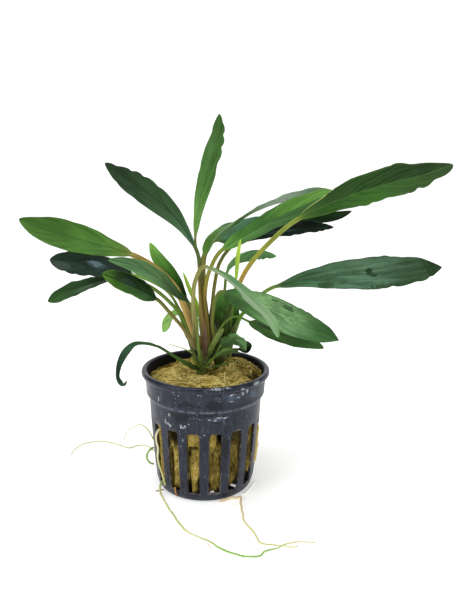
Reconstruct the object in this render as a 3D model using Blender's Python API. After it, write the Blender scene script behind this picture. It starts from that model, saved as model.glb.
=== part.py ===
"""A potted homalomena: a small rosette of long stalked leaves in a slotted net pot.

Lengths are in millimetres and MM turns them into Blender's metres. The origin is
the centre of the pot's underside, +Z is up, -Y is the side that faces the viewer.
"""

import math

import bmesh
import bpy
import numpy as np
from mathutils import Vector

MM = 0.001

# Net pot
POT_HEIGHT = 53.5
LIP_RADIUS = 28.3
LIP_MOUTH_RADIUS = 25.8
LIP_DEPTH = 2.6
COLLAR_TOP_RADIUS = 26.9
COLLAR_FOOT_RADIUS = 26.2
COLLAR_FOOT_HEIGHT = 43.9
BODY_TOP_RADIUS = 24.8
BODY_TOP_HEIGHT = 41.6
BODY_SLOT_TOP_RADIUS = 24.35
BODY_MIDDLE_RADIUS = 23.5
BODY_MIDDLE_HEIGHT = 19.0
BODY_SLOT_FOOT_RADIUS = 22.1
FOOT_RADIUS = 20.8
WALL = 1.0
FLOOR = 1.2
SLOTS = 16
SLOT_WIDTH_DEGREES = 12.8
SLOT_TOP = 32.0
SLOT_BOTTOM = 4.2
FLOOR_SLOT_OUTSIDE = 17.5
FLOOR_SLOT_INSIDE = 8.0
FRONT_RIB_DEGREES = 271.8

# Rock wool plug
WOOL_GAP = 0.65
WOOL_BEARINGS = 24
WOOL_FOOT = 2.2
WOOL_LEVEL = 52.0
WOOL_BACK_LEFT_DROP = 2.2
STEM_PIT_DEPTH = 2.2
STEM_PIT_RADIUS = 6.0

# Crown, the short stem that the leaves stand on, and its side shoot
CROWN_X = -1.0
CROWN_Y = -3.0
CROWN_FOOT = 51.3
CROWN_TOP = 60.6
CROWN_TOP_X = -0.7
CROWN_TOP_Y = -2.0
CROWN_SIDES = 12
SHOOT_X = 8.0
SHOOT_Y = 6.0
SHOOT_FOOT = 52.9
SHOOT_TOP = 61.2
SHOOT_TOP_X = 9.0
SHOOT_TOP_Y = 6.5
SEAT_GAP = 0.7
INNER_SEAT = 1.75
OUTER_SEAT = 3.2
SHOOT_SEAT = 1.7

# Leaves
STALK_FOOT_RADIUS = 0.5
BLADE_HALF_THICKNESS = 0.34
SECTION_SIDES = 8
STALK_STATIONS = 5
BLADE_STATIONS = 10
LANCE = (0.95, 0.72)

# Roots
ROOT_STEP = 3.8
ROOT_LEAST_STEPS = 7
ROOT_ON_FLOOR = 0.52

# Colours
DARK_PLASTIC = (0.026, 0.032, 0.048)
OCHRE_WOOL = (0.46, 0.32, 0.055)
CROWN_GREEN = (0.16, 0.26, 0.035)
BRIGHT_LEAF = (0.075, 0.235, 0.030)
DEEP_LEAF = (0.020, 0.075, 0.034)
FILMED_LEAF = (0.085, 0.175, 0.095)
LIME_LEAF = (0.33, 0.58, 0.04)
PALE_ROOT = (0.74, 0.72, 0.40)
GREEN_ROOT = (0.30, 0.50, 0.10)
BROWN_ROOT = (0.42, 0.25, 0.11)


def clear_scene():
    for old in list(bpy.data.objects):
        bpy.data.objects.remove(old, do_unlink=True)


def finish(name, colour, roughness):
    """A plain material of one colour."""
    material = bpy.data.materials.new(name)
    material.use_nodes = True
    shader = material.node_tree.nodes["Principled BSDF"]
    shader.inputs["Base Color"].default_value = (*colour, 1.0)
    shader.inputs["Roughness"].default_value = roughness
    material.diffuse_color = (*colour, 1.0)
    return material


def add_solid(name, bm, material):
    """Puts a mesh in millimetres into the scene as a smooth shaded solid in metres."""
    bmesh.ops.recalc_face_normals(bm, faces=bm.faces)
    bmesh.ops.scale(bm, vec=(MM, MM, MM), verts=bm.verts)
    mesh = bpy.data.meshes.new(name)
    bm.to_mesh(mesh)
    bm.free()
    mesh.materials.append(material)
    mesh.shade_smooth()
    mesh.set_sharp_from_angle(angle=math.radians(35.0))
    solid = bpy.data.objects.new(name, mesh)
    bpy.context.collection.objects.link(solid)
    return solid


def ring_faces(bm, lower, upper):
    """Quads between two closed rings of vertices."""
    count = len(lower)
    for k in range(count):
        after = (k + 1) % count
        bm.faces.new((lower[k], lower[after], upper[after], upper[k]))


def around(radius, degrees, height, centre=(0.0, 0.0)):
    """A point at a bearing from a vertical axis."""
    angle = math.radians(degrees)
    return (centre[0] + radius * math.cos(angle), centre[1] + radius * math.sin(angle), height)


def pot_profile():
    """Pairs of an outside and an inside point, from the mouth down to the floor's centre."""
    lip_foot = POT_HEIGHT - LIP_DEPTH
    return [
        ((LIP_RADIUS - 1.1, POT_HEIGHT), (LIP_MOUTH_RADIUS + 0.5, POT_HEIGHT)),
        ((LIP_RADIUS, POT_HEIGHT - 0.8), (LIP_MOUTH_RADIUS, POT_HEIGHT - 0.5)),
        ((LIP_RADIUS - 0.1, POT_HEIGHT - 2.0), (LIP_MOUTH_RADIUS - 0.1, POT_HEIGHT - 1.8)),
        ((COLLAR_TOP_RADIUS, lip_foot), (COLLAR_TOP_RADIUS - WALL - 0.2, lip_foot)),
        ((COLLAR_FOOT_RADIUS, COLLAR_FOOT_HEIGHT), (COLLAR_FOOT_RADIUS - WALL, COLLAR_FOOT_HEIGHT)),
        ((BODY_TOP_RADIUS, BODY_TOP_HEIGHT), (BODY_TOP_RADIUS - WALL, BODY_TOP_HEIGHT)),
        ((BODY_SLOT_TOP_RADIUS, SLOT_TOP), (BODY_SLOT_TOP_RADIUS - WALL, SLOT_TOP)),
        ((BODY_MIDDLE_RADIUS, BODY_MIDDLE_HEIGHT), (BODY_MIDDLE_RADIUS - WALL, BODY_MIDDLE_HEIGHT)),
        ((BODY_SLOT_FOOT_RADIUS, SLOT_BOTTOM), (BODY_SLOT_FOOT_RADIUS - WALL, SLOT_BOTTOM)),
        ((FOOT_RADIUS + 0.7, 0.9), (FOOT_RADIUS - 0.3, FLOOR + 0.7)),
        ((FOOT_RADIUS, 0.0), (FOOT_RADIUS - 1.0, FLOOR)),
        ((FLOOR_SLOT_OUTSIDE, 0.0), (FLOOR_SLOT_OUTSIDE, FLOOR)),
        ((FLOOR_SLOT_INSIDE, 0.0), (FLOOR_SLOT_INSIDE, FLOOR)),
    ]


def slot_bearings():
    """The two edges of every wall slot, in degrees from +X, starting beside the front rib."""
    pitch = 360.0 / SLOTS
    bearings = []
    for slot in range(SLOTS):
        middle = FRONT_RIB_DEGREES + pitch * (slot + 0.5)
        bearings.append(middle - SLOT_WIDTH_DEGREES / 2)
        bearings.append(middle + SLOT_WIDTH_DEGREES / 2)
    return bearings


def is_open(outer, sector):
    """Whether a cell of the pot's wall, below profile point outer, is a hole."""
    over_slot = sector % 2 == 0
    in_wall_slot = SLOT_BOTTOM < outer[1] <= SLOT_TOP
    in_floor_slot = outer[1] == 0.0 and outer[0] == FLOOR_SLOT_OUTSIDE
    return over_slot and (in_wall_slot or (in_floor_slot and sector % 4 == 0))


def build_pot(material):
    """A thin shell of cells, some of them left open, with the cut edges closed."""
    profile = pot_profile()
    bearings = slot_bearings()
    sectors = len(bearings)
    bm = bmesh.new()
    outside = [[bm.verts.new(around(out[0], b, out[1])) for b in bearings] for out, _ in profile]
    inside = [[bm.verts.new(around(inn[0], b, inn[1])) for b in bearings] for _, inn in profile]
    opened = [[is_open(out, s) for s in range(sectors)] for out, _ in profile[:-1]]

    def cell_open(row, sector):
        return row < 0 or opened[row][sector % sectors]

    for row in range(len(profile) - 1):
        for sector in range(sectors):
            after = (sector + 1) % sectors
            below = row + 1
            if not opened[row][sector]:
                bm.faces.new((outside[row][sector], outside[row][after],
                              outside[below][after], outside[below][sector]))
                bm.faces.new((inside[row][sector], inside[row][after],
                              inside[below][after], inside[below][sector]))
            if opened[row][sector] != cell_open(row, sector - 1):
                bm.faces.new((outside[row][sector], outside[below][sector],
                              inside[below][sector], inside[row][sector]))
            if opened[row][sector] != cell_open(row - 1, sector):
                bm.faces.new((outside[row][sector], outside[row][after],
                              inside[row][after], inside[row][sector]))
    for ring, height in ((outside[-1], 0.0), (inside[-1], FLOOR)):
        hub = bm.verts.new((0.0, 0.0, height))
        for sector in range(sectors):
            bm.faces.new((ring[sector], ring[(sector + 1) % sectors], hub))
    for sector in range(sectors):
        after = (sector + 1) % sectors
        if opened[-1][sector]:
            bm.faces.new((outside[-1][sector], outside[-1][after],
                          inside[-1][after], inside[-1][sector]))
    return add_solid("pot", bm, material)


def inside_wall_radius(height):
    """The pot's inside radius at a height, straight between profile points."""
    points = sorted((inn[1], inn[0]) for _, inn in pot_profile() if inn[0] > FLOOR_SLOT_OUTSIDE)
    return float(np.interp(height, [p[0] for p in points], [p[1] for p in points]))


def wool_top(x, y):
    """Height of the rock wool: full at the front, low at the back left, dipped at the stem."""
    back_left = max(0.0, (-0.55 * x + 0.85 * y) / 24.0)
    from_stem = math.hypot(x - CROWN_X, y - CROWN_Y)
    pit = STEM_PIT_DEPTH * math.exp(-(from_stem / STEM_PIT_RADIUS) ** 2)
    return WOOL_LEVEL - WOOL_BACK_LEFT_DROP * back_left ** 1.5 - pit


def build_rock_wool(material):
    """A plug that fills the pot, with a lumpy top that is centred on the stem."""
    bearings = [360.0 / WOOL_BEARINGS * k for k in range(WOOL_BEARINGS)]
    bm = bmesh.new()
    rings = []
    wall_heights = (WOOL_FOOT, 5.0, BODY_MIDDLE_HEIGHT, SLOT_TOP, BODY_TOP_HEIGHT, COLLAR_FOOT_HEIGHT)
    for height in wall_heights:
        radius = inside_wall_radius(height) - WOOL_GAP
        if height == WOOL_FOOT:
            radius -= 0.8
        rings.append([bm.verts.new(around(radius, b, height)) for b in bearings])
    rim = inside_wall_radius(COLLAR_FOOT_HEIGHT) - WOOL_GAP
    for share, drop in ((1.0, 1.2), (0.93, 0.3), (0.72, 0.0), (0.46, 0.0), (0.24, 0.0), (0.14, 0.0)):
        centre = (CROWN_X * (1.0 - share), CROWN_Y * (1.0 - share))
        ring = []
        for b in bearings:
            x, y, _ = around(rim * share, b, 0.0, centre)
            ring.append(bm.verts.new((x, y, wool_top(x, y) - drop)))
        rings.append(ring)
    for lower, upper in zip(rings, rings[1:]):
        ring_faces(bm, lower, upper)
    bm.faces.new(rings[0])
    bm.faces.new(rings[-1])
    return add_solid("rock_wool", bm, material)


def build_crown(name, material, sections):
    """A leaning turned stem: each section is a centre, a height and a radius."""
    bm = bmesh.new()
    rings = []
    for x, y, height, radius in sections:
        step = 360.0 / CROWN_SIDES
        spots = [around(radius, step * k, height, (x, y)) for k in range(CROWN_SIDES)]
        rings.append([bm.verts.new(spot) for spot in spots])
    for lower, upper in zip(rings, rings[1:]):
        ring_faces(bm, lower, upper)
    bm.faces.new(rings[0])
    bm.faces.new(rings[-1])
    return add_solid(name, bm, material)


def main_seat(bearing, radius):
    """Where a stalk stands on the main crown."""
    return around(radius, bearing, CROWN_TOP + SEAT_GAP, (CROWN_TOP_X, CROWN_TOP_Y))


def side_seat(bearing, radius):
    """Where a stalk stands on the side shoot."""
    return around(radius, bearing, SHOOT_TOP + SEAT_GAP, (SHOOT_TOP_X, SHOOT_TOP_Y))


def curve_through(points, per_span=14):
    """A smooth curve through the points, as many short steps."""
    knots = np.array(points, dtype=float)
    padded = np.vstack([2 * knots[0] - knots[1], knots, 2 * knots[-1] - knots[-2]])
    t = np.linspace(0.0, 1.0, per_span, endpoint=False)[:, None]
    spans = []
    for a, b, c, d in zip(padded, padded[1:], padded[2:], padded[3:]):
        bend = 2 * a - 5 * b + 4 * c - d
        twist = -a + 3 * b - 3 * c + d
        spans.append(b + 0.5 * ((c - a) * t + bend * t ** 2 + twist * t ** 3))
    return np.vstack(spans + [knots[-1:]])


def along(path, shares):
    """Points at given shares of a path's length."""
    steps = np.linalg.norm(np.diff(path, axis=0), axis=1)
    length = np.concatenate([[0.0], np.cumsum(steps)])
    wanted = np.asarray(shares) * length[-1]
    return np.stack([np.interp(wanted, length, path[:, axis]) for axis in range(3)], axis=1)


def unit(vector):
    return vector / np.linalg.norm(vector)


def blade_outline(share, powers):
    """Half width of a lance-shaped blade, 1 at its widest, from its base to its tip."""
    base_power, tip_power = powers
    widest = base_power / (base_power + tip_power)
    return (share / widest) ** base_power * ((1.0 - share) / (1.0 - widest)) ** tip_power


def leaf_frames(points, collar_station, face_base, face_tip):
    """Tangent, upper-face direction and side direction at each station."""
    tangents = [unit(t) for t in np.gradient(points, axis=0)]
    faces = [None] * len(points)
    last = len(points) - 1
    for j in range(collar_station, last + 1):
        share = (j - collar_station) / (last - collar_station)
        aim = np.array(face_base) * (1.0 - share) + np.array(face_tip) * share
        faces[j] = unit(aim - tangents[j] * np.dot(aim, tangents[j]))
    for j in range(collar_station - 1, -1, -1):
        aim = faces[j + 1]
        faces[j] = unit(aim - tangents[j] * np.dot(aim, tangents[j]))
    return [(t, n, np.cross(t, n)) for t, n in zip(tangents, faces)]


def build_leaf(name, material, foot, route, collar, half_width, face,
               outline=LANCE, fold=0.12, stalk=0.95):
    """One leaf: a stalk that flattens into a blade and closes at its tip.

    foot is where the stalk stands, route the points that its midrib follows after
    that, and collar the number of the route point where the blade starts. face is
    the direction of the upper face at the collar and at the tip, outline the two
    powers of the blade's width towards its base and its tip, and fold how far the
    edges rise above the midrib, as a share of the half width.
    """
    path = curve_through([foot, *route])
    collar_path = curve_through([foot, *route[:collar]]) if collar else path[:1]
    collar_share = path_length(collar_path) / path_length(path)
    stalk_shares = np.linspace(0.0, collar_share, STALK_STATIONS, endpoint=False) if collar else np.array([])
    blade_shares = (1.0 - np.cos(np.linspace(0.0, math.pi, BLADE_STATIONS))) / 2
    blade_shares = 0.4 * blade_shares + 0.6 * np.linspace(0.0, 1.0, BLADE_STATIONS)
    shares = np.concatenate([stalk_shares, collar_share + (1.0 - collar_share) * blade_shares])
    points = along(path, shares)
    frames = leaf_frames(points, len(stalk_shares), *face)

    bm = bmesh.new()
    rings = []
    for j in range(len(points) - 1):
        _, up, side = frames[j]
        blade = max(0.0, (shares[j] - collar_share) / (1.0 - collar_share))
        flat = min(1.0, 4.0 * blade)
        swell = min(1.0, 4.0 * shares[j])
        radius = STALK_FOOT_RADIUS + (stalk - STALK_FOOT_RADIUS) * swell
        wide = math.hypot(radius * (1.0 - 0.8 * flat), half_width * blade_outline(blade, outline))
        thick = radius * (1.0 - flat) + BLADE_HALF_THICKNESS * flat
        ring = []
        for k in range(SECTION_SIDES):
            angle = 2.0 * math.pi * k / SECTION_SIDES
            across = math.cos(angle)
            lift = thick * math.sin(angle) + fold * wide * flat * abs(across) ** 1.5
            ring.append(bm.verts.new(points[j] + side * wide * across + up * lift))
        rings.append(ring)
    for lower, upper in zip(rings, rings[1:]):
        ring_faces(bm, lower, upper)
    bm.faces.new(rings[0])
    tip = bm.verts.new(points[-1])
    for k in range(SECTION_SIDES):
        bm.faces.new((rings[-1][k], rings[-1][(k + 1) % SECTION_SIDES], tip))
    return add_solid(name, bm, material)


def path_length(path):
    return float(np.linalg.norm(np.diff(path, axis=0), axis=1).sum())


def build_root(name, material, route, thick, thin):
    """A root: a tube that tapers from its thick to its thin diameter."""
    path = curve_through(route)
    steps = max(ROOT_LEAST_STEPS, round(path_length(path) / ROOT_STEP))
    points = along(path, np.linspace(0.0, 1.0, steps + 1))
    curve = bpy.data.curves.new(name, "CURVE")
    curve.dimensions = "3D"
    curve.bevel_depth = thick / 2 * MM
    curve.bevel_resolution = 1
    curve.use_fill_caps = True
    spline = curve.splines.new("POLY")
    spline.points.add(len(points) - 1)
    for j, point in enumerate(points):
        spline.points[j].co = (*(point * MM), 1.0)
        spline.points[j].radius = 1.0 + (thin / thick - 1.0) * j / steps
    curve.materials.append(material)
    root = bpy.data.objects.new(name, curve)
    bpy.context.collection.objects.link(root)
    return root


def build_left_leaves(bright, deep):
    build_leaf("leaf_upper_left", deep, main_seat(120, INNER_SEAT),
               [(-1.5, 3, 83), (-2.5, 4.5, 98.5), (-4.5, 5, 106), (-13.5, 8, 118.3), (-26.5, 11, 129),
                (-37, 13, 135.5), (-45.5, 14, 141.5)],
               3, 5.6, ((-0.2, -0.9, 0.2), (-0.2, -0.9, 0.3)), outline=(1.3, 0.85))
    build_leaf("leaf_far_left", bright, main_seat(210, INNER_SEAT),
               [(-6, -5, 73.5), (-11.5, -9, 89), (-17, -12, 97), (-28, -15, 104.5), (-38, -20, 108.5),
                (-48.5, -25, 112), (-60, -29, 115.8), (-67.5, -31, 119.5)],
               4, 7.0, ((0.0, -0.7, 0.7), (0.0, -0.75, 0.65)), outline=(0.95, 0.78),
               stalk=1.25)
    build_leaf("leaf_left_dark_long", deep, main_seat(168, OUTER_SEAT),
               [(-8.5, 6, 71), (-19.5, 12, 86.5), (-33.5, 16, 91.5), (-43.5, 19, 93), (-53.5, 22, 94.5),
                (-65.5, 24, 96), (-75.5, 25, 97)],
               3, 6.6, ((0.0, -0.75, 0.65), (0.0, -0.8, 0.6)), outline=(0.95, 0.6))
    build_leaf("leaf_left_dark_sheen", deep, main_seat(192, OUTER_SEAT),
               [(-9.5, -1, 75), (-17.5, 1, 88), (-24.5, 3, 91), (-32.5, 5, 93.5), (-39.5, 7, 95),
                (-48, 9, 97), (-57, 10, 99)],
               4, 5.4, ((0.0, -0.6, 0.8), (0.0, -0.6, 0.8)), stalk=1.05)
    build_leaf("leaf_left_drooping", deep, main_seat(144, OUTER_SEAT),
               [(-9, 8, 65.5), (-12.5, 12, 74), (-17.5, 16, 79), (-28.5, 20, 86.3), (-37, 22, 88.6),
                (-48.5, 25, 87.6), (-60.5, 27, 84), (-69.5, 28, 80.3), (-78.5, 28, 76)],
               5, 5.0, ((0.0, -0.3, 0.95), (-0.1, -0.8, 0.6)), outline=(1.1, 0.6))
    build_leaf("leaf_left_middle", deep, main_seat(255, INNER_SEAT),
               [(-5, -7, 72), (-6, -11, 84), (-10, -14, 88), (-15.5, -18, 94), (-23, -21, 99.5),
                (-30.5, -23, 102.5), (-36.5, -25, 104)],
               2, 4.2, ((-0.1, -0.6, 0.8), (0.0, -0.6, 0.8)))
    build_leaf("leaf_left_lower", deep, main_seat(231, OUTER_SEAT),
               [(-8.5, -10, 68.5), (-11, -13, 75.5), (-14.5, -16, 82), (-18.5, -19, 87.5),
                (-24.5, -23, 92), (-31.5, -27, 96), (-37.5, -31, 99.5)],
               4, 4.9, ((0.0, -0.6, 0.8), (0.0, -0.75, 0.65)))
    build_leaf("leaf_left_short", bright, main_seat(165, INNER_SEAT),
               [(-3.5, 1.3, 65), (-5.9, 3.2, 74), (-9, 5, 81.5), (-10.5, 5.5, 85), (-13.5, 6, 90.5),
                (-18, 7, 96), (-22.5, 8, 101.5), (-25.5, 9, 107.5)],
               3, 3.0, ((0.3, -0.9, 0.3), (0.2, -0.9, 0.3)))
    build_leaf("leaf_left_back_small", bright, main_seat(120, OUTER_SEAT),
               [(-8, 13, 66.5), (-11.5, 18, 72), (-14.5, 20, 73), (-18.5, 23, 69.5), (-22.5, 26, 62)],
               2, 3.4, ((0.0, -0.5, 0.85), (-0.3, -0.7, 0.5)), stalk=0.75)
    build_leaf("leaf_left_curled", deep, (-4.2, -5.8, 54.9),
               [(-8.5, -10, 58.5), (-14.5, -12, 63), (-19, -14, 66.5), (-23.5, -15, 68),
                (-28.5, -16, 68), (-32, -17, 65), (-34.5, -18, 60.5), (-35.5, -18, 56),
                (-35, -18, 52.5), (-33, -18, 51), (-31.5, -18, 53)],
               3, 1.6, ((-0.2, -0.3, 0.9), (0.9, -0.3, -0.3)), stalk=0.8)


def build_upright_leaves(bright, filmed, lime):
    build_leaf("leaf_upright", bright, main_seat(0, 0.0),
               [(-2.5, 0, 83.5), (-3.5, 2, 100), (-5, 3, 109.5), (-3.5, 6, 124), (-0.7, 8, 136),
                (2.2, 11, 147.5), (4.2, 13, 155.5), (4.5, 15, 163)],
               3, 3.9, ((0.2, -1.0, 0.1), (0.1, -1.0, 0.1)), outline=(1.1, 0.65))
    build_leaf("leaf_front_arching", filmed, main_seat(260, OUTER_SEAT),
               [(-3.5, -12, 73.5), (-4.5, -15, 87), (-3.5, -17, 95), (-2, -19, 99.5), (0.5, -21, 101.5),
                (4, -24, 101), (8.5, -29, 99), (15, -37, 95), (20.5, -44, 90.5), (24.5, -51, 87.5),
                (27, -57, 83)],
               5, 3.2, ((0.4, -0.2, 0.9), (0.6, -0.5, 0.6)))
    build_leaf("leaf_spike_right", lime, side_seat(0, 0.0),
               [(10.5, 5, 71.5), (12.5, 6, 87), (13, 7, 94.5), (13.5, 8, 102.5), (14.5, 9, 109.5)],
               2, 0.95, ((0.0, -1.0, 0.1), (0.0, -1.0, 0.1)), stalk=0.7)
    build_leaf("leaf_spike_left", lime, main_seat(96, OUTER_SEAT),
               [(-3, 6, 71), (-4.5, 7, 80), (-7.5, 8, 86), (-11, 10, 94.5)],
               1, 0.95, ((0.2, -1.0, 0.1), (0.2, -1.0, 0.1)), stalk=0.7)


def build_right_leaves(bright, deep, filmed):
    build_leaf("leaf_top_arching", filmed, main_seat(75, INNER_SEAT),
               [(-1, 6, 82.5), (-2, 7.5, 99.5), (-1.4, 8.5, 104.8), (1.6, 10, 110.2), (6.2, 11.5, 113.3),
                (11.9, 13.5, 116.7), (17.5, 16, 120), (24, 18.5, 123), (32.5, 22, 126), (42, 25.5, 129),
                (50.5, 28, 130.5), (57.5, 30, 131)],
               2, 4.4, ((-0.4, -0.35, 0.8), (-0.2, 0.75, 0.7)))
    build_leaf("leaf_right_bright", bright, main_seat(30, INNER_SEAT),
               [(1.5, -1, 75), (2.5, -1, 90.5), (4, -1, 100.5), (6.5, -1, 105), (12.5, 0, 109.5),
                (18.5, 0.5, 113), (29, 2, 119), (39.5, 3, 124), (47, 4, 127.5), (55.5, 5, 131)],
               4, 5.4, ((-0.3, -0.8, 0.5), (-0.2, -0.8, 0.6)), outline=(1.15, 0.72))
    build_leaf("leaf_right_dark_low", deep, main_seat(48, OUTER_SEAT),
               [(2, 4, 71.5), (3, 6, 86.5), (5.5, 9, 99), (11, 12, 106), (21, 14, 110.5),
                (32.5, 16, 113), (41.5, 18, 114), (50, 20, 114.5), (57.5, 21, 114.5)],
               4, 4.8, ((-0.1, -0.6, 0.8), (0.0, -0.6, 0.8)))
    build_leaf("leaf_right_dark_behind", deep, main_seat(72, OUTER_SEAT),
               [(0.5, 8, 70.5), (-1, 10, 81.5), (-2.5, 12, 90.5), (-2.6, 14, 98.5), (-0.5, 15.5, 105),
                (3.2, 18, 108.5), (16.5, 23, 113), (33, 27, 116), (45, 30, 117.5), (58.5, 32, 118.5),
                (68, 34, 121.5)],
               6, 5.0, ((-0.2, -0.7, 0.7), (0.0, -0.6, 0.8)), outline=(0.6, 0.6))
    build_leaf("leaf_right_large", bright, side_seat(250, SHOOT_SEAT),
               [(8.5, -3, 73.5), (14.5, -7, 93.5), (19.5, -9, 102), (25, -11, 109), (30.5, -13, 114.5),
                (36, -15, 119.5), (44, -18, 124.1), (53.5, -22, 128.9), (63, -26, 132.6), (72, -30, 135.4),
                (80.5, -34, 137.8), (88.5, -37, 140.7)],
               6, 7.2, ((-0.4, -0.8, 0.4), (-0.2, -0.75, 0.65)), outline=(0.95, 0.58), stalk=1.05)
    build_leaf("leaf_right_spreading", filmed, side_seat(340, SHOOT_SEAT),
               [(14, 8, 72), (17, 9, 77), (25.5, 11, 85.5), (29.5, 12, 87.5), (35, 12, 89),
                (44, 12.5, 91.2), (60.5, 13.5, 93.1), (79, 14.5, 94.6), (97, 15.5, 96.2), (107, 16, 97.5)],
               4, 8.2, ((-0.1, -0.8, 0.5), (0.0, -0.8, 0.6)), outline=(1.05, 0.66), stalk=1.0)
    build_leaf("leaf_front_right_drooping", filmed, main_seat(289, OUTER_SEAT),
               [(2, -8, 72.5), (4, -12, 84), (5, -15, 89.5), (7, -17, 90.8), (12.5, -21, 89.5),
                (18, -25, 88.3), (24, -29, 86.8), (31.5, -34, 84.4), (39, -39, 82), (50, -45, 79)],
               4, 6.2, ((-0.2, -0.7, 0.6), (-0.2, -0.7, 0.6)), outline=(0.7, 0.65), stalk=0.85)
    build_leaf("leaf_front_right_low", deep, main_seat(318, OUTER_SEAT),
               [(4, -9, 68), (7, -10, 74.5), (10.5, -11, 78), (14.5, -13, 80), (17.5, -15, 78.5),
                (25, -19, 76.2), (32.5, -24, 74.5), (40, -29, 73.5), (46.5, -34, 72.7)],
               5, 4.9, ((0.2, -0.5, 0.8), (0.1, -0.6, 0.8)), outline=(0.7, 0.72))
    build_leaf("leaf_back_small", filmed, side_seat(60, SHOOT_SEAT),
               [(9.5, 13, 64.5), (7.3, 18, 71), (7.5, 22, 81.5), (8.5, 25, 92), (12.5, 28, 97), (20.5, 31, 99.5),
                (27, 33, 99.5), (32.5, 34, 99)],
               4, 2.8, ((-0.2, -0.9, 0.5), (0.0, -0.9, 0.5)), stalk=0.75)
    build_leaf("leaf_dark_broad", deep, side_seat(140, SHOOT_SEAT),
               [(6.8, 9.2, 63.8), (7.3, 10.4, 67.5), (8.4, 11, 72.5), (8.6, 11.5, 78.5), (7.3, 12, 85.5)],
               1, 4.7, ((0.1, -0.9, 0.2), (0.1, -0.9, 0.2)), outline=(0.38, 0.5), stalk=0.75)


def build_base_leaves(bright, deep):
    build_leaf("leaf_base_crumpled", bright, (4.6, -2.5, 59.9),
               [(6.6, -2.5, 63.9), (10.5, -2, 66), (14, -2.5, 66), (17.5, -5, 62.5)],
               1, 2.8, ((0.1, -0.6, 0.8), (0.5, -0.6, 0.4)), stalk=0.6)
    build_leaf("leaf_base_dark", deep, (12.4, 8.2, 59.2),
               [(14.6, 8, 59.3), (17.6, 7, 60.6), (20.5, 6, 62)],
               1, 2.8, ((0.0, -0.8, 0.5), (0.0, -0.8, 0.5)), stalk=0.55)
    build_leaf("leaf_base_low", deep, (3.2, -5.6, 58.9),
               [(7.5, -6, 62), (11.5, -5, 62.5), (15, -3, 61)],
               0, 1.7, ((0.0, -0.5, 0.85), (0.1, -0.5, 0.85)), stalk=0.7)
    build_leaf("leaf_base_thin", deep, (1.7, -6.2, 55.2),
               [(5, -9, 56.6), (8, -9, 57.5), (12.5, -8, 59)],
               0, 0.8, ((0.0, -0.5, 0.85), (0.0, -0.5, 0.85)), stalk=0.5)
    build_leaf("leaf_base_stub", bright, (-2.8, -6.2, 55.6),
               [(-4.5, -8, 58.5), (-6, -9, 61)],
               0, 1.3, ((0.2, -0.9, 0.2), (0.2, -0.9, 0.2)), stalk=0.6)


def build_roots(pale, green, brown):
    low = ROOT_ON_FLOOR
    build_root("root_front_long", green,
               [(-17, -13.2, 5.8), (-18.4, -14.4, 5), (-18.9, -15.4, 2.8), (-18.4, -16.8, 1), (-17.1, -19.5, low),
                (-15.5, -23.5, low), (-12.5, -29.5, low), (-8.5, -37, low), (-4.5, -43, low),
                (0, -46.3, low), (4.5, -49, low), (9.8, -53.8, low), (14, -55.8, low),
                (18.5, -57.4, low), (23, -56.8, low), (25, -54.3, low), (29, -52.6, low),
                (33, -49.8, low), (37, -48.3, low), (45, -48.7, low)],
               0.95, 0.5)
    build_root("root_front_twig", pale, [(3.6, -49.8, 0.4), (4.6, -52, 0.4), (5.6, -54.7, 0.4)], 0.5, 0.4)
    build_root("root_right_long", pale,
               [(6.6, -21.4, 0.6), (10.2, -20, 0.6), (13.4, -18.9, 0.6), (15.9, -18.3, 0.6),
                (16.3, -22.5, low), (17, -30, low), (17.8, -36.2, low), (20.9, -42, low),
                (22.6, -46.5, low), (23.6, -50, 1.0), (25.6, -52, 1.9), (28.5, -52.4, 2.0),
                (31.5, -52, 1.5), (34.9, -51.4, 0.5), (38, -50.9, 0.5)],
               0.95, 0.5)
    build_root("root_right_pale", pale, [(17.6, -15.4, 0.7), (20.8, -8.8, 0.5), (23, -3.6, 0.5)], 0.7, 0.4)
    build_root("root_left_long", pale,
               [(-18.3, 11.4, 5.4), (-20.6, 13.8, 3.4), (-24, 19, 1.2), (-28, 25, 0.5), (-32, 29.4, 0.5),
                (-37, 29.4, 0.5), (-39.5, 26.9, 0.5), (-44.3, 28.7, 0.5), (-50.3, 32.3, 0.5),
                (-55.2, 33.5, 0.5), (-61, 32.7, 0.5), (-64.4, 30.6, 0.5), (-67.5, 23.5, 0.5),
                (-67.6, 17.6, 0.5)],
               0.8, 0.45)
    build_root("root_pot_side", pale,
               [(-18.7, -14.6, 30.5), (-20.0, -15.7, 28.4), (-20.2, -15.5, 25), (-19.4, -16, 22),
                (-19.9, -15.3, 18), (-19, -16, 14.5), (-17.1, -17.4, 11.5), (-15.6, -17.8, 8),
                (-14.2, -18.2, 4.6)],
               0.8, 0.6)
    build_root("root_arching", pale,
               [(-22.7, -5.2, 20.2), (-24.9, -5.2, 24.4), (-28, -3, 26.4), (-32.7, 0, 24.4),
                (-36, 2, 21.2), (-38.3, 4, 15.3)],
               0.7, 0.4)
    build_root("root_green_loop", green,
               [(-22.7, -6.2, 17.6), (-24.5, -8, 16.8), (-25.4, -9, 15), (-25.3, -9, 13),
                (-24.2, -8.2, 10.9), (-22.4, -6.8, 9.6)],
               1.1, 0.9)
    build_root("root_left_brown", brown, [(-19.2, -12.2, 0.5), (-20.3, -13.4, 0.45), (-21.4, -13.6, 0.4)],
               0.5, 0.6)
    build_root("runner_rim", pale,
               [(-3.2, 1.2, 56), (-6, 5, 57.6), (-9, 9, 58.2), (-11, 12, 58), (-15, 16, 58), (-19.5, 20, 58)],
               0.7, 0.4)


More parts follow.
